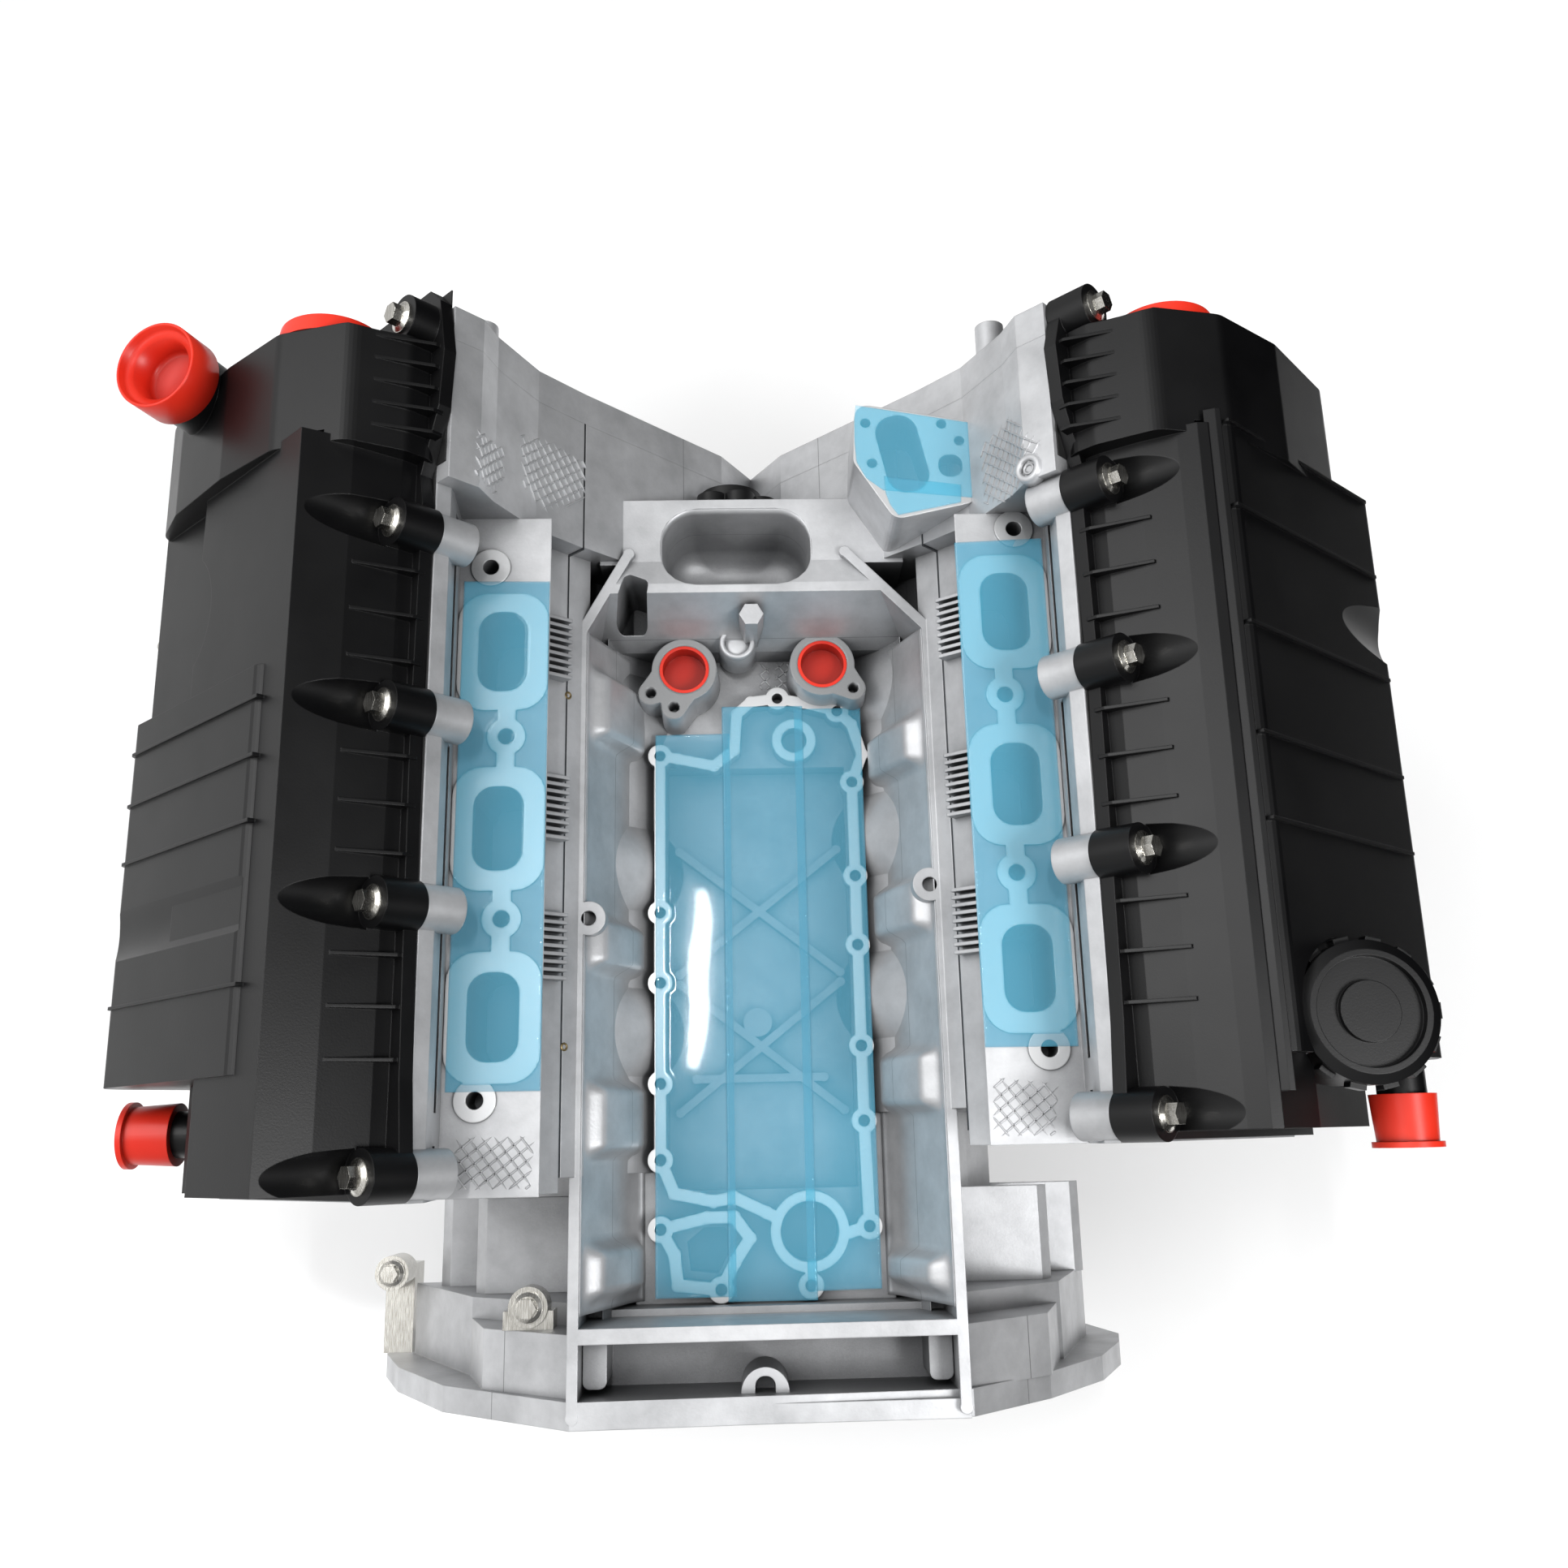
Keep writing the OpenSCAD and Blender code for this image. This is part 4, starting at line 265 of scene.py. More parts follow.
finishes = {
    "castAluminium": castAluminium(),
    "milledAluminium": machinedMetal("milledAluminium", "#c4c5c6", "#dcdcda", 0.32),
    "blackNylon": mouldedPlastic("blackGlassFilledNylon", "#050506", "#09090a", 0.38, 0.9, 0.03, specular=0.34),
    # the red cups get painted shade down inside them
    "redPolyethylene": mouldedPlastic("redPolyethylene", "#dc2a18", "#ea3824", 0.36, 2.0, 0.02, specular=0.35,
                                      insideShade="#5c0c06"),
    "blueFilm": clearFilm(),
    "zincSteel": machinedMetal("zincPlatedSteel", "#b5b2aa", "#d8d6d0", 0.24, 0.5),
    "oiledSteel": machinedMetal("oiledSteel", "#4a4a4c", "#6a6a6c", 0.32),
    "honedIron": machinedMetal("honedGreyIron", "#6b6b6b", "#8a8a89", 0.34, 0.4),
    "coatedSheet": machinedMetal("coatedSheetSteel", "#4c4e50", "#606265", 0.42),
    "sealRubber": mouldedPlastic("mouldedSealRubber", "#0f0f0f", "#171717", 0.62, 0.6, 0.02),
    "linedShell": machinedMetal("linedBearingShell", "#8c7a58", "#a8946c", 0.34),
    "glazedCeramic": mouldedPlastic("glazedCeramic", "#dedcd4", "#efede6", 0.18, 3.0, 0.0),
}
slotFinish = {"cast_aluminium": "castAluminium", "machined_aluminium": "milledAluminium",
              "black_plastic": "blackNylon", "red_plastic": "redPolyethylene", "film": "blueFilm",
              "bright_steel": "zincSteel", "dark_steel": "oiledSteel", "iron": "honedIron",
              "gasket_steel": "coatedSheet", "seal_rubber": "sealRubber", "bearing": "linedShell",
              "ceramic": "glazedCeramic"}
slotOfNode = {s["node"]: s["material_slot"] for s in frame["record"]["subparts"]}
for nodeName, cadPiece in frame["nodes"].items():
    cadPiece.data.materials.clear()
    cadPiece.data.materials.append(finishes[slotFinish[slotOfNode[nodeName]]])
print("finishes made and set on the solids:", len(finishes))


# shapes are worked out in millimetres from the left middle cylinder, and go into the frame in metres here
def makePiece(name, points, faces, slotName, body="engine", smooth=True, flags=None):
    mesh = bpy.data.meshes.new(name)
    mesh.from_pydata((points * mm + np.array([0.0, midY, 0.0])).tolist(), [], faces.tolist())
    if smooth:
        mesh.polygons.foreach_set("use_smooth", np.ones(len(faces), dtype=bool))
    for flag, values in (flags or {}).items():
        mesh.attributes.new(flag, "FLOAT", "POINT").data.foreach_set("value", values.astype(np.float32))
    mesh.materials.append(finishes[slotFinish[slotName]])
    piece = bpy.data.objects.new(name, mesh)
    bpy.context.scene.collection.objects.link(piece)
    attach(piece, body)
    return piece


# quads between the neighbours of a grid of rows by columns, closed round the columns or the rows if asked
def gridFaces(rows, columns, around=False, ring=False):
    i, j = np.meshgrid(np.arange(rows if ring else rows - 1), np.arange(columns if around else columns - 1),
                       indexing="ij")
    after, below = (j + 1) % columns, (i + 1) % rows
    corners = [i * columns + j, below * columns + j, below * columns + after, i * columns + after]
    return np.stack(corners, -1).reshape(-1, 4)


def smoothStep(value, low, high):
    t = np.clip((value - low) / (high - low), 0, 1)
    return t * t * (3 - 2 * t)


# distance from each point to a chain of straight lines: the least over its lines of the distance to the nearest
# point of that line
def chainDistance(x, y, chain):
    ends = np.array(chain, dtype=float)
    a, d = ends[:-1], ends[1:] - ends[:-1]
    px, py = x[..., None] - a[:, 0], y[..., None] - a[:, 1]
    t = np.clip((px * d[:, 0] + py * d[:, 1]) / (d ** 2).sum(-1), 0, 1)
    return np.hypot(px - t * d[:, 0], py - t * d[:, 1]).min(-1)


# signed distance to a rectangle with round corners, less than nothing inside it
def roundRect(x, y, centre, width, length, corner):
    qx = np.abs(x - centre[0]) - width / 2 + corner
    qy = np.abs(y - centre[1]) - length / 2 + corner
    return np.hypot(np.maximum(qx, 0), np.maximum(qy, 0)) + np.minimum(np.maximum(qx, qy), 0) - corner


# Films over the ports, the valley and the front housing
filmRipples = {"seed": 7, "waves": 9, "longestMm": 90, "shortestMm": 30, "heightMm": 0.035, "rise": 0.7,
               "clingShare": 0.12, "sagMm": 0.2}


# A film is the surface between two edge lines: a point goes straight across from the one edge to the other at
# the same share of their length. It lies flat where it clings; over a hollow it sags a little, and a sum of
# plane waves of random direction ripples it.
def filmSheet(name, leftEdge, rightEdge, level, clingAt, node):
    r, step = filmRipples, filmSettings["stepMm"]
    leftEdge, rightEdge = np.array(leftEdge, dtype=float), np.array(rightEdge, dtype=float)
    length = np.hypot(*(leftEdge[-1] - leftEdge[0]))
    width = np.hypot(*(rightEdge.mean(0) - leftEdge.mean(0)))
    rows, columns = int(length / step) + 2, int(width / step) + 2
    v = np.linspace(0, 1, rows)
    stations = np.linspace(0, 1, len(leftEdge)), np.linspace(0, 1, len(rightEdge))
    left = np.stack([np.interp(v, stations[0], leftEdge[:, k]) for k in (0, 1)], -1)
    right = np.stack([np.interp(v, stations[1], rightEdge[:, k]) for k in (0, 1)], -1)
    u = np.linspace(0, 1, columns)[None, :, None]
    flat = left[:, None, :] * (1 - u) + right[:, None, :] * u
    x, y = flat[..., 0], flat[..., 1]
    cling = clingAt(x, y)
    random = np.random.default_rng(r["seed"])
    angle = random.uniform(0, np.pi, r["waves"])
    wave = random.uniform(r["shortestMm"], r["longestMm"], r["waves"])
    start = random.uniform(0, 2 * np.pi, r["waves"])
    phase = (x[..., None] * np.cos(angle) + y[..., None] * np.sin(angle)) * 2 * np.pi / wave + start
    ripple = (np.sin(phase) * wave / r["longestMm"]).sum(-1) / np.sqrt(r["waves"])
    free = r["clingShare"] + (1 - r["clingShare"]) * (1 - cling)
    z = level + r["heightMm"] * free * (ripple + r["rise"]) - r["sagMm"] * (1 - cling)
    z = np.where(cling > 0.5, np.maximum(z, level), z)
    points = np.stack([x, y, z], -1).reshape(-1, 3)
    piece = makePiece(name, points, gridFaces(rows, columns)[:, ::-1], "film", flags={"cling": cling.ravel()})
    thick = piece.modifiers.new("filmThickness", "SOLIDIFY")
    thick.thickness = filmSettings["thickMm"] * mm
    thick.offset = 1.0
    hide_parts(node)


# each intake port's land, and the bosses between the ports, in millimetres from the middle port
portLand = {"centre": 140.0, "pitch": 100, "width": 50, "length": 68, "corner": 16, "portWidth": 27,
            "portLength": 46, "portCorner": 11, "bolt": (3, 1), "boltR": 10.5, "holeR": 4.5,
            "neckWidth": 10, "neckLength": 44, "neckCorner": 1, "soft": 0.6}


def portCling(side, shift):
    p = portLand

    def clingAt(x, y):
        across, along = p["centre"] - x * side, y - shift
        land = np.full(x.shape, 1e3)
        for k in (-1, 0, 1):
            middle = (0, k * p["pitch"])
            rim = roundRect(across, along, middle, p["width"], p["length"], p["corner"])
            port = roundRect(across, along, middle, p["portWidth"], p["portLength"], p["portCorner"])
            land = np.minimum(land, np.maximum(rim, -port))
        for k in (-0.5, 0.5):
            middle = (p["bolt"][0], k * p["pitch"] + p["bolt"][1])
            bolt = np.hypot(across - middle[0], along - middle[1])
            neck = roundRect(across, along, middle, p["neckWidth"], p["neckLength"], p["neckCorner"])
            boss = np.minimum(bolt - p["boltR"], neck)
            land = np.minimum(land, np.maximum(boss, p["holeR"] - bolt))
        return 1 - smoothStep(land, -p["soft"], p["soft"])
    return clingAt


portFilms = [
    ("leftPortFilm", "cylinder_head_left", -1, 0.0,
     [(-163.2, -137.6), (-162.6, 141.6)], [(-114.6, -137.9), (-114.9, 140.9)]),
    ("rightPortFilm", "cylinder_head_right", 1, 19.75,
     [(114.4, -121.0), (113.6, 161.6)], [(163.2, -121.4), (163.4, 163.6)]),
]
for name, restsOn, side, shift, leftEdge, rightEdge in portFilms:
    filmSheet(name, leftEdge, rightEdge, levels["portFace"] + filmSettings["liftMm"], portCling(side, shift),
              "port_films")

# The valley's gasket land, as lines that its film clings to, and its bosses and rings
landLines = [
    [(-61, 72), (-61, -28), (-61, -71), (-61, -131), (-61, -175), (-53, -194), (-30, -199), (-18, -197),
     (1, -206), (24, -218), (46, -219), (61, -215)],
    [(61, -215), (60, -155), (60, -111), (60, -50), (60, -7), (60, 53), (67, 71), (61, 91), (52, 100),
     (30, 106), (14, 109), (-3, 107), (-12, 99), (-14, 75), (-27, 65), (-50, 70), (-61, 72)],
    [(-61, -214), (-53, -228), (-51, -245), (-26, -248), (-18, -233), (-9, -220), (-18, -208), (-34, -208),
     (-61, -214)],
]
landBosses = [(-61, 72), (-61, -28), (-61, -71), (-61, -131), (-61, -175), (-61, -214), (60, 53), (60, -7),
              (60, -50), (60, -111), (60, -155), (61, -215), (-26, -248), (26, -247), (14, 109), (52, 100)]
landRings = [((24, 81), 14, 8), ((26, -217), 23, 17)]
landSizes = {"width": 7, "bossR": 7.5, "holeR": 3.4, "soft": 0.5}


def valleyCling(x, y):
    land = np.minimum.reduce([chainDistance(x, y, line) for line in landLines]) - landSizes["width"] / 2
    for centre in landBosses:
        land = np.minimum(land, np.hypot(x - centre[0], y - centre[1]) - landSizes["bossR"])
    for centre, outer, inner in landRings:
        reach = np.hypot(x - centre[0], y - centre[1])
        land = np.maximum(np.minimum(land, reach - outer), inner - reach)
    for centre in landBosses:
        land = np.maximum(land, landSizes["holeR"] - np.hypot(x - centre[0], y - centre[1]))
    return 1 - smoothStep(land, -landSizes["soft"], landSizes["soft"])


# the middle strip lies over the other two
valleyFilms = [
    ("valleyFilmLeft", 0.0, [(-64.0, -251.9), (-63.8, 85.6)], [(-17.2, -252.0), (-16.8, 86.0)]),
    ("valleyFilmRight", 0.0, [(24.0, -250.0), (24.4, 101.6)], [(66.8, -249.6), (66.9, 102.0)]),
    ("valleyFilmMiddle", 0.35, [(-22.0, -254.6), (-21.6, 103.8)], [(29.6, -254.9), (29.9, 103.6)]),
]
for name, over, leftEdge, rightEdge in valleyFilms:
    filmSheet(name, leftEdge, rightEdge, levels["gasketLand"] + filmSettings["liftMm"] + over, valleyCling,
              "valley_film")

# the front housing's slanting mouth, its small port and its bolt holes, which the film spans
housingHollows = {"mouth": (88, 224), "turn": 12, "width": 25, "length": 50, "corner": 12,
                  "port": (116, 216), "portSize": 14, "portCorner": 6,
                  "holes": [(67, 244), (112, 243), (122, 232), (70, 218)], "holeR": 3, "soft": 0.5}


def housingCling(x, y):
    h = housingHollows
    turn = np.radians(h["turn"])
    awayX, awayY = x - h["mouth"][0], y - h["mouth"][1]
    across = awayX * np.cos(turn) + awayY * np.sin(turn)
    along = awayY * np.cos(turn) - awayX * np.sin(turn)
    hollow = np.minimum(roundRect(across, along, (0, 0), h["width"], h["length"], h["corner"]),
                        roundRect(x, y, h["port"], h["portSize"], h["portSize"], h["portCorner"]))
    for centre in h["holes"]:
        hollow = np.minimum(hollow, np.hypot(x - centre[0], y - centre[1]) - h["holeR"])
    return smoothStep(hollow, -h["soft"], h["soft"])


frontFilms = [
    ("frontFilmUpper", 0.0,
     [(76, 200.5), (66, 208.5), (60.8, 219), (60.2, 232), (60.4, 245), (61.6, 255.6)],
     [(130.0, 195.0), (130.1, 219), (130.2, 243.4)]),
    ("frontFilmLower", 0.3,
     [(84.0, 184.6), (79.6, 191), (77.0, 199), (76.6, 209.5)],
     [(121.0, 192.3), (121.4, 198), (121.6, 203.4)]),
]
for name, over, leftEdge, rightEdge in frontFilms:
    filmSheet(name, leftEdge, rightEdge, levels["coolantFace"] + filmSettings["liftMm"] + over, housingCling,
              "front_film")
print("films laid")

# Cross-hatched grip patches, cast into the heads beside the front bolt tubes and at the rear
hatchSettings = {"pitchMm": 5.2, "widthMm": 1.4, "heightMm": 0.8, "sinkMm": 0.3, "topShare": 0.45,
                 "angles": (38, -52), "along": 14, "fadeShare": 0.125, "thinnest": 0.02,
                 "firstMm": 1.5, "lastMm": 1.0, "shortestMm": 3}


# A patch is a strip of ribs over a bent plate: the plate is a line across (x and z) carried along the engine, a
# rib runs straight over it when it is laid out flat, and its section is a low trapezoid that fades at both ends
def hatchPatch(name, section, outline):
    h = hatchSettings
    section = np.array(section, dtype=float)
    corners = np.array(outline, dtype=float)
    reach = np.concatenate([[0], np.cumsum(np.hypot(*(section[1:] - section[:-1]).T))])
    allPoints, allFaces, count = [], [], 0
    for degrees in h["angles"]:
        way = np.array([np.cos(np.radians(degrees)), np.sin(np.radians(degrees))])
        side = np.array([-way[1], way[0]])
        beside = corners @ side
        offsets = np.arange(beside.min() + h["firstMm"], beside.max() - h["lastMm"], h["pitchMm"])
        # each rib's two ends are where its line crosses the outline's edges, the sides of a convex shape
        edges = np.roll(corners, -1, 0) - corners
        inward = np.stack([-edges[:, 1], edges[:, 0]], -1)
        start = offsets[:, None, None] * side
        gap = ((start - corners[None]) * inward).sum(-1)
        speed = (way * inward).sum(-1)[None]
        cross = -gap / np.where(np.abs(speed) < 1e-9, 1e-9, speed)
        enter = np.where(speed > 0, cross, -1e6).max(1)
        leave = np.where(speed < 0, cross, 1e6).min(1)
        keep = leave - enter > h["shortestMm"]
        offsets, enter, leave = offsets[keep], enter[keep], leave[keep]
        t = np.linspace(0, 1, h["along"])
        reachAlong = enter[:, None] + (leave - enter)[:, None] * t
        centre = offsets[:, None, None] * side + reachAlong[..., None] * way
        fade = np.minimum(1, np.minimum(t, 1 - t) / h["fadeShare"])
        atLeast = np.maximum(fade, h["thinnest"])
        half, top = h["widthMm"] / 2, h["widthMm"] / 2 * h["topShare"]
        profile = np.array([[-half, -h["sinkMm"]], [half, -h["sinkMm"]],
                            [top, h["heightMm"]], [-top, h["heightMm"]]])
        offset = profile[None, None, :, 0] * atLeast[None, :, None]
        height = profile[:, 1] * np.where(profile[:, 1] > 0, fade[:, None], atLeast[:, None])
        flat = centre[:, :, None, :] + offset[..., None] * side
        x = np.interp(flat[..., 0], reach, section[:, 0])
        z = np.interp(flat[..., 0], reach, section[:, 1])
        index = np.clip(np.searchsorted(reach, flat[..., 0]) - 1, 0, len(section) - 2)
        run = section[index + 1] - section[index]
        normal = np.stack([-run[..., 1], run[..., 0]], -1) / np.hypot(run[..., 0], run[..., 1])[..., None]
        normal = normal * np.where(normal[..., 1:] < 0, -1, 1)
        lift = normal * height[None, ..., None]
        points = np.stack([x + lift[..., 0], flat[..., 1], z + lift[..., 1]], -1)
        ribs, steps = points.shape[:2]
        faces = gridFaces(steps, 4, around=True)
        ends = np.array([[0, 1, 2, 3], [steps * 4 - 1, steps * 4 - 2, steps * 4 - 3, steps * 4 - 4]])
        one = np.concatenate([faces, ends])
        # a plate that runs towards +X carries the ribs the other way round
        one = one[:, ::-1] if section[-1, 0] > section[0, 0] else one
        every = one[None] + (np.arange(ribs) * steps * 4)[:, None, None] + count
        allPoints.append(points.reshape(-1, 3))
        allFaces.append(every.reshape(-1, 4))
        count += ribs * steps * 4
    makePiece(name, np.concatenate(allPoints), np.concatenate(allFaces), "cast_aluminium", smooth=False)


# the head's inner slope, as offsets across and along the bank, turned by 45 degrees into the frame's x and z
headSlope = [(82, 223), (84, 262), (97, 300), (106, 316), (106, 336)]
slopeLeft, slopeRight = ([(side * (u - v) * 0.70711, (u + v) * 0.70711) for v, u in headSlope[::-1]]
                         for side in (-1, 1))
floorZ, headZ = levels["valleyFloor"], levels["headSide"]
hatchPatches = [
    ("hatchLeftFront", slopeLeft, [(17, 187), (38, 183), (48, 198), (46, 216), (17, 214)]),
    ("hatchLeftLower", slopeLeft, [(60, 232), (65, 202), (86, 192), (116, 212), (116, 236), (84, 240)]),
    ("hatchRightFront", slopeRight, [(8, 200), (14, 184), (42, 178), (64, 186), (64, 222), (34, 228)]),
    ("hatchValleyLeft", [(3, floorZ), (10, floorZ)], [(0, 119), (7, 119), (7, 137), (0, 137)]),
    ("hatchValleyRight", [(13, floorZ), (24, floorZ)], [(0, 119), (11, 119), (11, 137), (0, 137)]),
    ("hatchLeftRear", [(-163, headZ), (-112, headZ)], [(4, -186), (44, -186), (46, -160), (6, -160)]),
    ("hatchRightRear", [(112, headZ), (163, headZ)], [(4, -166), (36, -166), (40, -140), (6, -136)]),
]
for name, section, outline in hatchPatches:
    hatchPatch(name, section, outline)
print("cast patches made")

# The deep bay ahead of the valley: its wall and floor in one skin
baySettings = {"centre": (-10.5, 189.0), "width": 92.0, "length": 51.0, "corner": 21.5, "top": 195.8,
               "rim": 8, "draft": (1, 0.996, 0.97), "foot": 12, "floor": 121.0, "filletMm": 16.0,
               "filletSteps": 9, "floorSteps": 7, "middle": 0.001, "around": 160, "thickMm": 0.4}


# Outline of a rectangle with round corners: at each angle, the point of the rectangle shrunk by the corner
# radius that lies that way, pushed out along the angle by the radius
def roundOutline(width, length, corner, around):
    angle = np.linspace(0, 2 * np.pi, around, endpoint=False)
    c, s = np.cos(angle), np.sin(angle)
    inner = np.stack([np.sign(c) * (width / 2 - corner) * np.minimum(1, np.abs(c) * 8),
                      np.sign(s) * (length / 2 - corner) * np.minimum(1, np.abs(s) * 8)], -1)
    return inner + corner * np.stack([c, s], -1)


# The bay's skin goes down its wall, round a quarter circle at the foot and in to the middle of the floor
def bayLining():
    b = baySettings
    edge = roundOutline(b["width"], b["length"], b["corner"], b["around"])
    turn = np.linspace(0, np.pi / 2, b["filletSteps"])
    foot = b["filletMm"] * np.stack([1 - np.cos(turn), np.sin(turn)], -1)
    curve = b["floor"] + b["filletMm"]
    depth = np.concatenate([[b["top"], b["top"] - b["rim"], curve + b["foot"]], curve - foot[:, 1],
                            np.full(b["floorSteps"], b["floor"])])
    bend = b["draft"][-1] - foot[:, 0] / (b["length"] / 2)
    scale = np.concatenate([b["draft"], bend, np.linspace(bend[-1], b["middle"], b["floorSteps"])])
    points = edge[None] * scale[:, None, None] + np.array(b["centre"])
    heights = np.broadcast_to(depth[:, None, None], points.shape[:2] + (1,))
    points = np.concatenate([points, heights], -1)
    faces = gridFaces(len(depth), b["around"], around=True)
    skin = makePiece("bayLining", points.reshape(-1, 3), faces[:, ::-1], "cast_aluminium")
    wall = skin.modifiers.new("bayWall", "SOLIDIFY")
    wall.thickness = b["thickMm"] * mm
    wall.offset = -1.0


bayLining()


def mergeDoubles(mesh):
    shell = bmesh.new()
    shell.from_mesh(mesh)
    bmesh.ops.remove_doubles(shell, verts=shell.verts, dist=0.001 * mm)
    shell.to_mesh(mesh)
    shell.free()


# A turned shape: a closed section, radius and height, carried round an axis through its centre. The section
# runs up its bores, out over its top and down its outside; points that meet on the axis are merged.
def turnedPiece(name, centre, section, slotName="cast_aluminium", body="engine", axis=(0, 0, 1), around=48):
    section = np.array(section, dtype=float)
    angle = np.linspace(0, 2 * np.pi, around, endpoint=False)
    axis = np.array(axis, dtype=float) / np.linalg.norm(axis)
    across = np.cross((0.0, 1.0, 0.0), axis)
    across /= np.linalg.norm(across)
    beside = np.cross(axis, across)
    spoke = np.cos(angle)[:, None] * across + np.sin(angle)[:, None] * beside
    points = np.array(centre) + section[:, 0][:, None, None] * spoke[None] + section[:, 1][:, None, None] * axis
    faces = gridFaces(len(section), around, around=True, ring=True)
    mergeDoubles(makePiece(name, points.reshape(-1, 3), faces, slotName, body).data)


# the cup between the ports stands on the valley floor, with a low pad in it
turnedPiece("middleCup", (-11, 139, 0),
            [(8.0, 140), (8.0, 163.4), (8.6, 164), (10.0, 164), (10.7, 163.6), (11.0, 162.8), (12.2, 138)])
turnedPiece("middleCupPad", (-11, 139, 0), [(0, 158.8), (5.0, 158.6), (7.9, 158), (7.9, 152), (0, 152)])

# Collars of the coolant ports: a flat flange round each port, drawn out to its bolt holes
collarSettings = {"inner": 15.9, "outer": 20.4, "lobe": 7.8, "taper": 0.6, "steps": 40, "bolt": 3.0,
                  "boltDeep": 14, "top": levels["collar"], "foot": 129, "bevel": 0.3, "trim": 0.5,
                  "around": 300, "across": 44, "flare": 1.6}
collars = [("leftCollar", (-44.5, 122.5), [(-21, -15), (-6.5, -24.5)]),
           ("rightCollar", (42.4, 125), [(19.1, -16)])]


# The outline is the reach from the port's centre, by angle, of circles that shrink from the port's size to the
# lobe's as their centre moves out to the bolt; the flange is a height over that reach, sunk at the bolt holes,
# with its wall run down to the valley floor
def collar(name, centre, bolts):
    c = collarSettings
    angle = np.linspace(0, 2 * np.pi, c["around"], endpoint=False)
    way = np.stack([np.cos(angle), np.sin(angle)], -1)
    reach = np.full(c["around"], c["outer"])
    share = np.linspace(0, 1, c["steps"])[:, None]
    radius = c["outer"] + (c["lobe"] - c["outer"]) * share ** c["taper"]
    for bolt in bolts:
        middle = share[..., None] * np.array(bolt)
        along = (middle * way[None]).sum(-1)
        room = along ** 2 - (middle ** 2).sum(-1) + radius ** 2
        reach = np.maximum(reach, np.where(room > 0, along + np.sqrt(np.maximum(room, 0)), 0).max(0))
    reach = (np.roll(reach, 1) + 2 * reach + np.roll(reach, -1)) / 4
    t = np.linspace(0, 1, c["across"])[:, None]
    radius = c["inner"] + c["bevel"] + (reach[None] - c["trim"] - c["inner"]) * t
    flat = radius[..., None] * way[None]
    height = np.full(radius.shape, c["top"])
    for bolt in bolts:
        hole = np.hypot(flat[..., 0] - bolt[0], flat[..., 1] - bolt[1])
        height = height - c["boltDeep"] * (1 - smoothStep(hole, c["bolt"] - c["bevel"], c["bolt"] + c["bevel"]))
    ring = np.ones((1, c["around"]))
    radius = np.concatenate([ring * c["inner"], ring * c["inner"], radius,
                             reach[None], reach[None] + c["flare"]])
    height = np.concatenate([ring * c["foot"], ring * (c["top"] - c["bevel"]), height,
                             ring * (c["top"] - 2 * c["bevel"]), ring * c["foot"]])
    points = np.concatenate([radius[..., None] * way[None] + np.array(centre), height[..., None]], -1)
    faces = gridFaces(len(radius), c["around"], around=True, ring=True)
    makePiece(name, points.reshape(-1, 3), faces, "cast_aluminium")


for name, centre, bolts in collars:
    collar(name, centre, bolts)

# Screwed plug with its ring on the right head, and brass thread inserts on the valley's left rail
turnedPiece("ringPlug", (150.3, 186.5, 300.2),
            [(0, -3), (2.0, -3), (2.0, 0.6), (2.6, 1.2), (3.4, 1.2), (3.4, -2), (4.6, -2), (4.6, 2.2),
             (5.2, 2.8), (7.2, 2.8), (8.0, 2.0), (8.6, -5), (0, -5)],
            axis=(-0.71, 0, 0.71))
for name, centre in (("brassInsertFront", (-110.7, 91.2, 206.9)), ("brassInsertRear", (-110.0, -112.4, 206.1))):
    turnedPiece(name, centre, [(1.2, -2), (1.2, 0.3), (1.4, 0.5), (2.2, 0.5), (2.4, 0.3), (2.4, -2)], "bearing",
                axis=(0.71, 0, 0.71), around=24)

# Red cup in the mouth of the filler neck: a skirt outside the neck, a rim, and a recess that goes down into it
fillerBase, fillerTip = np.array([-305.0, 256, 232]), np.array([-325.0, 254, 296])
turnedPiece("fillerCup", fillerTip,
            [(0, -14), (15.4, -14), (16.8, -13.2), (17.6, -11.5), (18.1, 0.6), (21.4, 1.4), (22.8, 2.6),
             (23.4, 5.6), (23.8, 6.0), (24.5, 6.0), (25.0, 5.5), (25.0, -15.6), (24.6, -16), (22.0, -16),
             (22.0, -0.1), (18.7, -0.1), (18.2, -15.4), (0, -15.4)],
            "red_plastic", "filler_cap", fillerTip - fillerBase, 72)
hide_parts("filler_cap")

# Side walls of the valley: the cast skin climbs from the gasket land to the rail, and stands proud in
# soft-edged bands where the bearing webs are
sideSettings = {"section": [(71.0, 129.2), (74.5, 130.6), (79.0, 138.5), (90.0, 166.8), (99.3, 190.6),
                            (100.6, 194.6), (100.8, 198.8)],
                "rear": -254, "front": 136, "stepMm": 2.4, "across": 40, "roundMm": 4.5, "proudMm": 7.0,
                "footFade": (0.02, 0.16), "topFade": (0.80, 0.97), "swell": 0.5, "clearMm": 0.4, "thickMm": 0.6}
sideBands = {-1: [(71, 112), (-66, -38), (-170, -132), (-246, -220)],
             1: [(52, 81), (-48, -18), (-149, -117), (-246, -229)]}


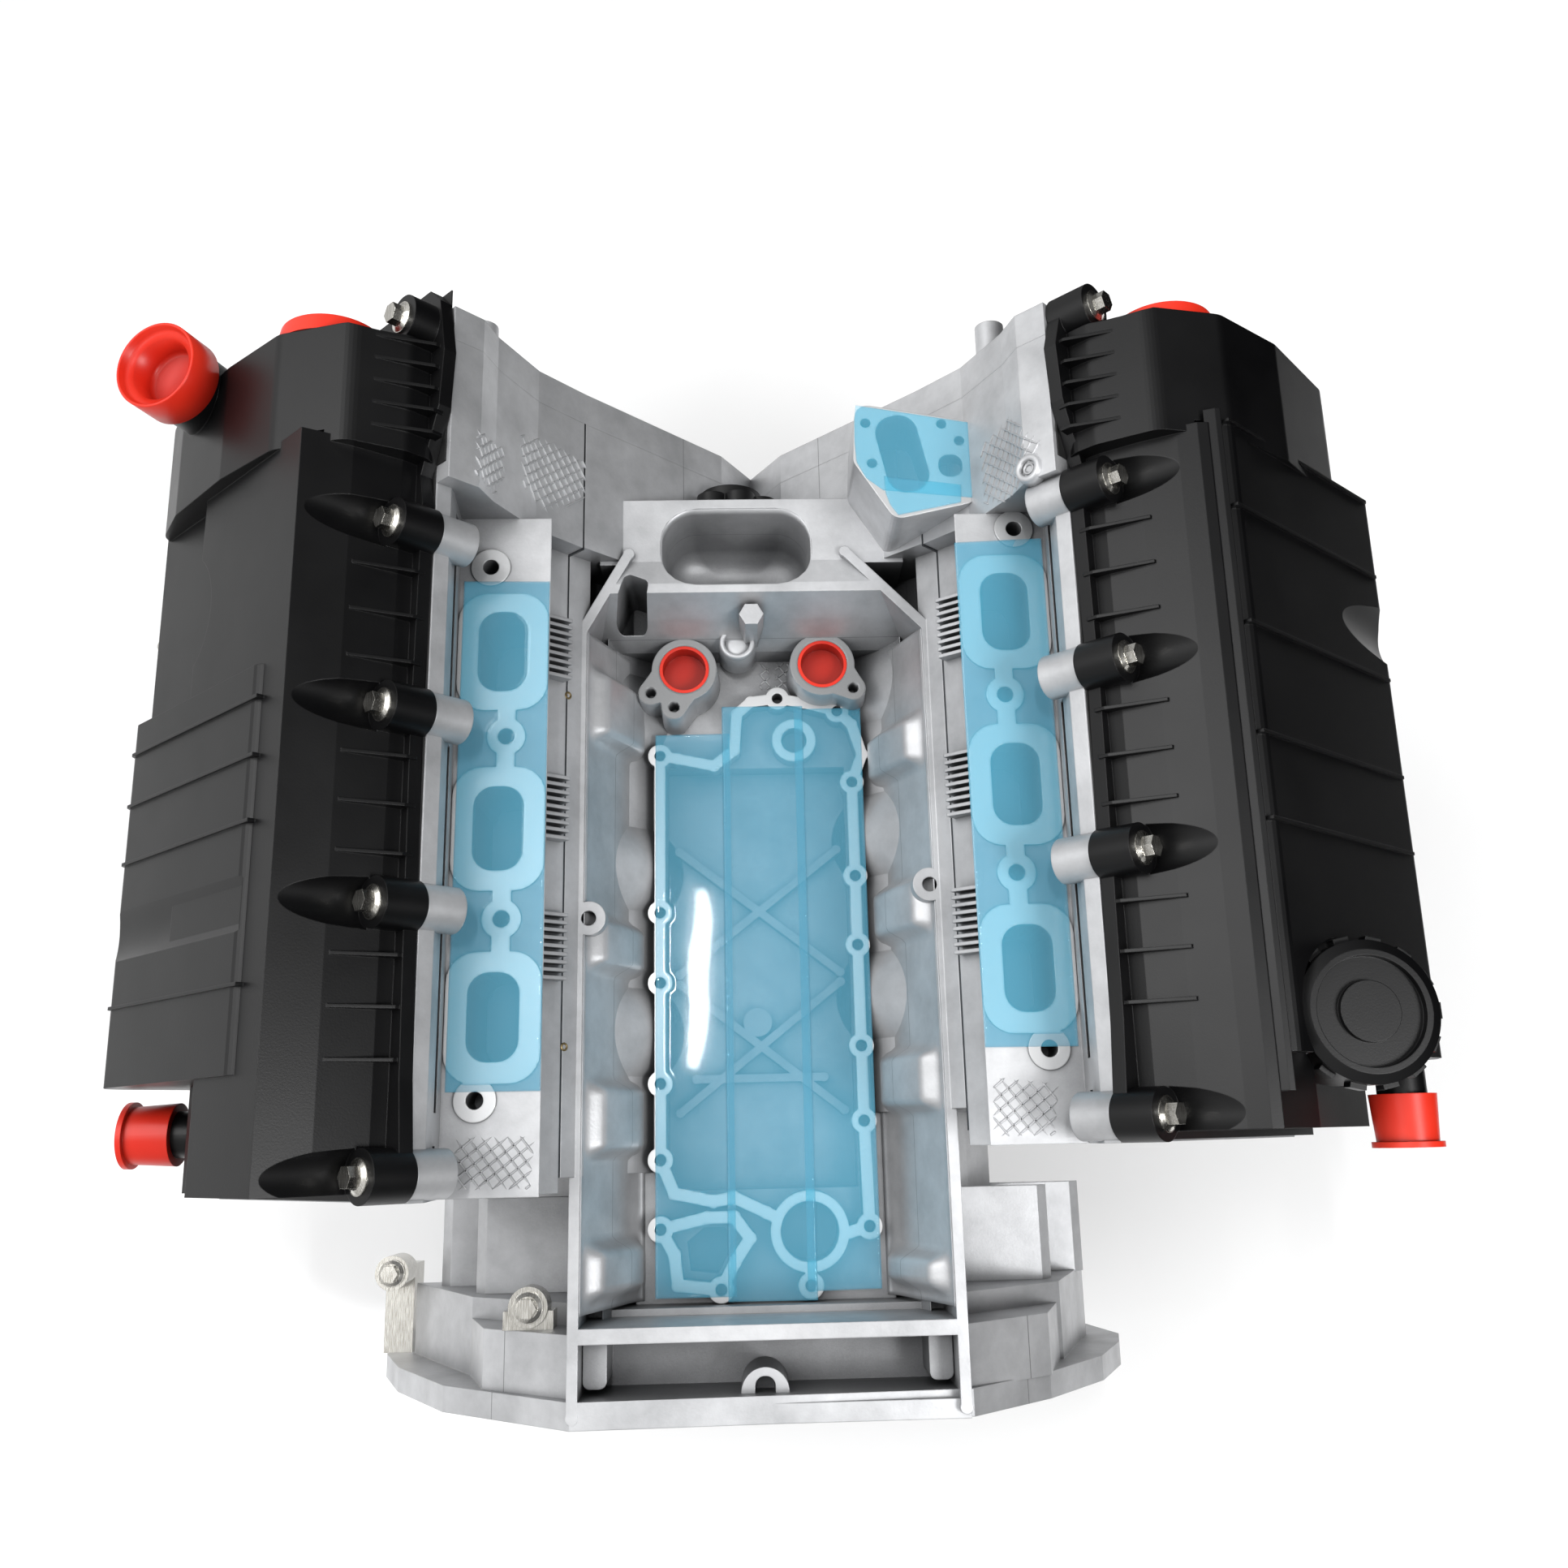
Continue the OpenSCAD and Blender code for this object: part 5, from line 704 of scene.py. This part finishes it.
# The section is a chain of straight lines, evened out by a moving mean; each point is pushed along the
# section's normal by the height of the bands, a product of two soft steps along the engine, which fades at foot
# and top
def valleySide(side, name):
    s = sideSettings
    chain = np.array(s["section"], dtype=float)
    reach = np.concatenate([[0], np.cumsum(np.hypot(*(chain[1:] - chain[:-1]).T))])
    fine = np.linspace(0, reach[-1], s["across"])
    path = np.stack([np.interp(fine, reach, chain[:, k]) for k in (0, 1)], -1)
    path[1:-1] = (path[:-2] + 2 * path[1:-1] + path[2:]) / 4
    run = np.gradient(path, axis=0)
    normal = np.stack([-run[:, 1], run[:, 0]], -1) / np.hypot(run[:, 0], run[:, 1])[:, None]
    y = np.arange(s["rear"], s["front"], s["stepMm"])
    proud = np.zeros(len(y))
    for low, high in sideBands[side]:
        proud = np.maximum(proud, smoothStep(y, low - s["roundMm"], low + s["roundMm"])
                           * (1 - smoothStep(y, high - s["roundMm"], high + s["roundMm"])))
    share = fine / fine[-1]
    fade = smoothStep(share, *s["footFade"]) * (1 - smoothStep(share, *s["topFade"]))
    swell = 1.0 + s["swell"] * np.sin(share * np.pi)
    push = proud[:, None] * s["proudMm"] * (fade * swell)[None] + s["clearMm"]
    x = path[None, :, 0] + normal[None, :, 0] * push
    z = path[None, :, 1] + normal[None, :, 1] * push
    points = np.stack([x * side, np.broadcast_to(y[:, None], x.shape), z], -1)
    faces = gridFaces(len(y), s["across"])
    skin = makePiece(name, points.reshape(-1, 3), faces if side < 0 else faces[:, ::-1], "cast_aluminium")
    wall = skin.modifiers.new("sideWall", "SOLIDIFY")
    wall.thickness = s["thickMm"] * mm
    wall.offset = -1.0


valleySide(-1, "valleySideLeft")
valleySide(1, "valleySideRight")
print("bay, collars, plugs, cup and valley sides made")

# Pale studio floor, just under the sump
floorSettings = {"colour": "#ffffff", "size": 2.2, "drop": 0.0005, "rough": 0.9}


def makeFloor():
    half = floorSettings["size"] / 2
    z = cadLow[2] - floorSettings["drop"]
    mesh = bpy.data.meshes.new("studioFloor")
    corners = [(-half, -half, z), (half, -half, z), (half, half, z), (-half, half, z)]
    mesh.from_pydata(corners, [], [(0, 1, 2, 3)])
    floor = bpy.data.objects.new("studioFloor", mesh)
    bpy.context.scene.collection.objects.link(floor)
    material, tree, shader, place = newMaterial("studioPaper")
    shader.inputs["Base Color"].default_value = linearColour(floorSettings["colour"])
    shader.inputs["Roughness"].default_value = floorSettings["rough"]
    mesh.materials.append(material)


# Soft studio light: a broad panel high on the left, a smaller one at the right rear, a narrow strip overhead
# that shows as a streak in the valley film, and a surround that is bright above and to the left, dark elsewhere
lightSettings = [
    {"name": "leftPanel", "place": (-1.35, 0.7, 1.9), "aim": (0, 0.3, 0.1),
     "shape": "RECTANGLE", "width": 1.5, "length": 1.5, "power": 26},
    {"name": "rightPanel", "place": (1.05, -0.3, 1.8), "aim": (-0.05, 0.3, 0.15),
     "shape": "RECTANGLE", "width": 0.6, "length": 0.7, "power": 26},
    {"name": "streakStrip", "place": (-0.0968, 0.457, 1.9), "aim": (-0.0968, 0.457, 0),
     "shape": "ELLIPSE", "width": 0.036, "length": 0.34, "power": 4.0},
]
surroundSettings = {"bright": "#ffffff", "dark": "#0c0c0d", "towards": (-0.86, 0.1, 0.5), "low": -0.35,
                    "high": 0.80, "strength": 0.85, "backdrop": 1.2}


def placeLights():
    w = surroundSettings
    for s in lightSettings:
        data = bpy.data.lights.new(s["name"], "AREA")
        data.energy = s["power"]
        data.shape = s["shape"]
        data.size = s["width"]
        data.size_y = s["length"]
        lamp = bpy.data.objects.new(s["name"], data)
        bpy.context.scene.collection.objects.link(lamp)
        lamp.location = s["place"]
        lamp.rotation_euler = (Vector(s["aim"]) - Vector(s["place"])).to_track_quat("-Z", "Y").to_euler()
    world = bpy.data.worlds.new("studioSurround")
    world.use_nodes = True
    tree = world.node_tree
    place = addNode(tree, "ShaderNodeTexCoord")
    along = addNode(tree, "ShaderNodeVectorMath", {1: Vector(w["towards"]).normalized()},
                    {0: (place, "Generated")}, operation="DOT_PRODUCT")
    share = addNode(tree, "ShaderNodeMapRange", {"From Min": w["low"], "From Max": w["high"]},
                    {"Value": (along, "Value")})
    ramp = addNode(tree, "ShaderNodeValToRGB", None, {"Fac": (share, "Result")})
    setRamp(ramp, [(0.0, w["dark"]), (1.0, w["bright"])])
    # the paper sweep behind the engine is white to the eye, and lights the engine as the ramp says
    sight = addNode(tree, "ShaderNodeLightPath")
    seen = addNode(tree, "ShaderNodeMix", {"B": (w["backdrop"],) * 3 + (1.0,)},
                   {"Factor": (sight, "Is Camera Ray"), "A": (ramp, "Color")}, data_type="RGBA")
    back = tree.nodes["Background"]
    tree.links.new(seen.outputs["Result"], back.inputs["Color"])
    back.inputs["Strength"].default_value = w["strength"]
    bpy.context.scene.world = world
    bpy.context.scene.view_settings.view_transform = "Standard"


makeFloor()
placeLights()
print("floor and lights placed")
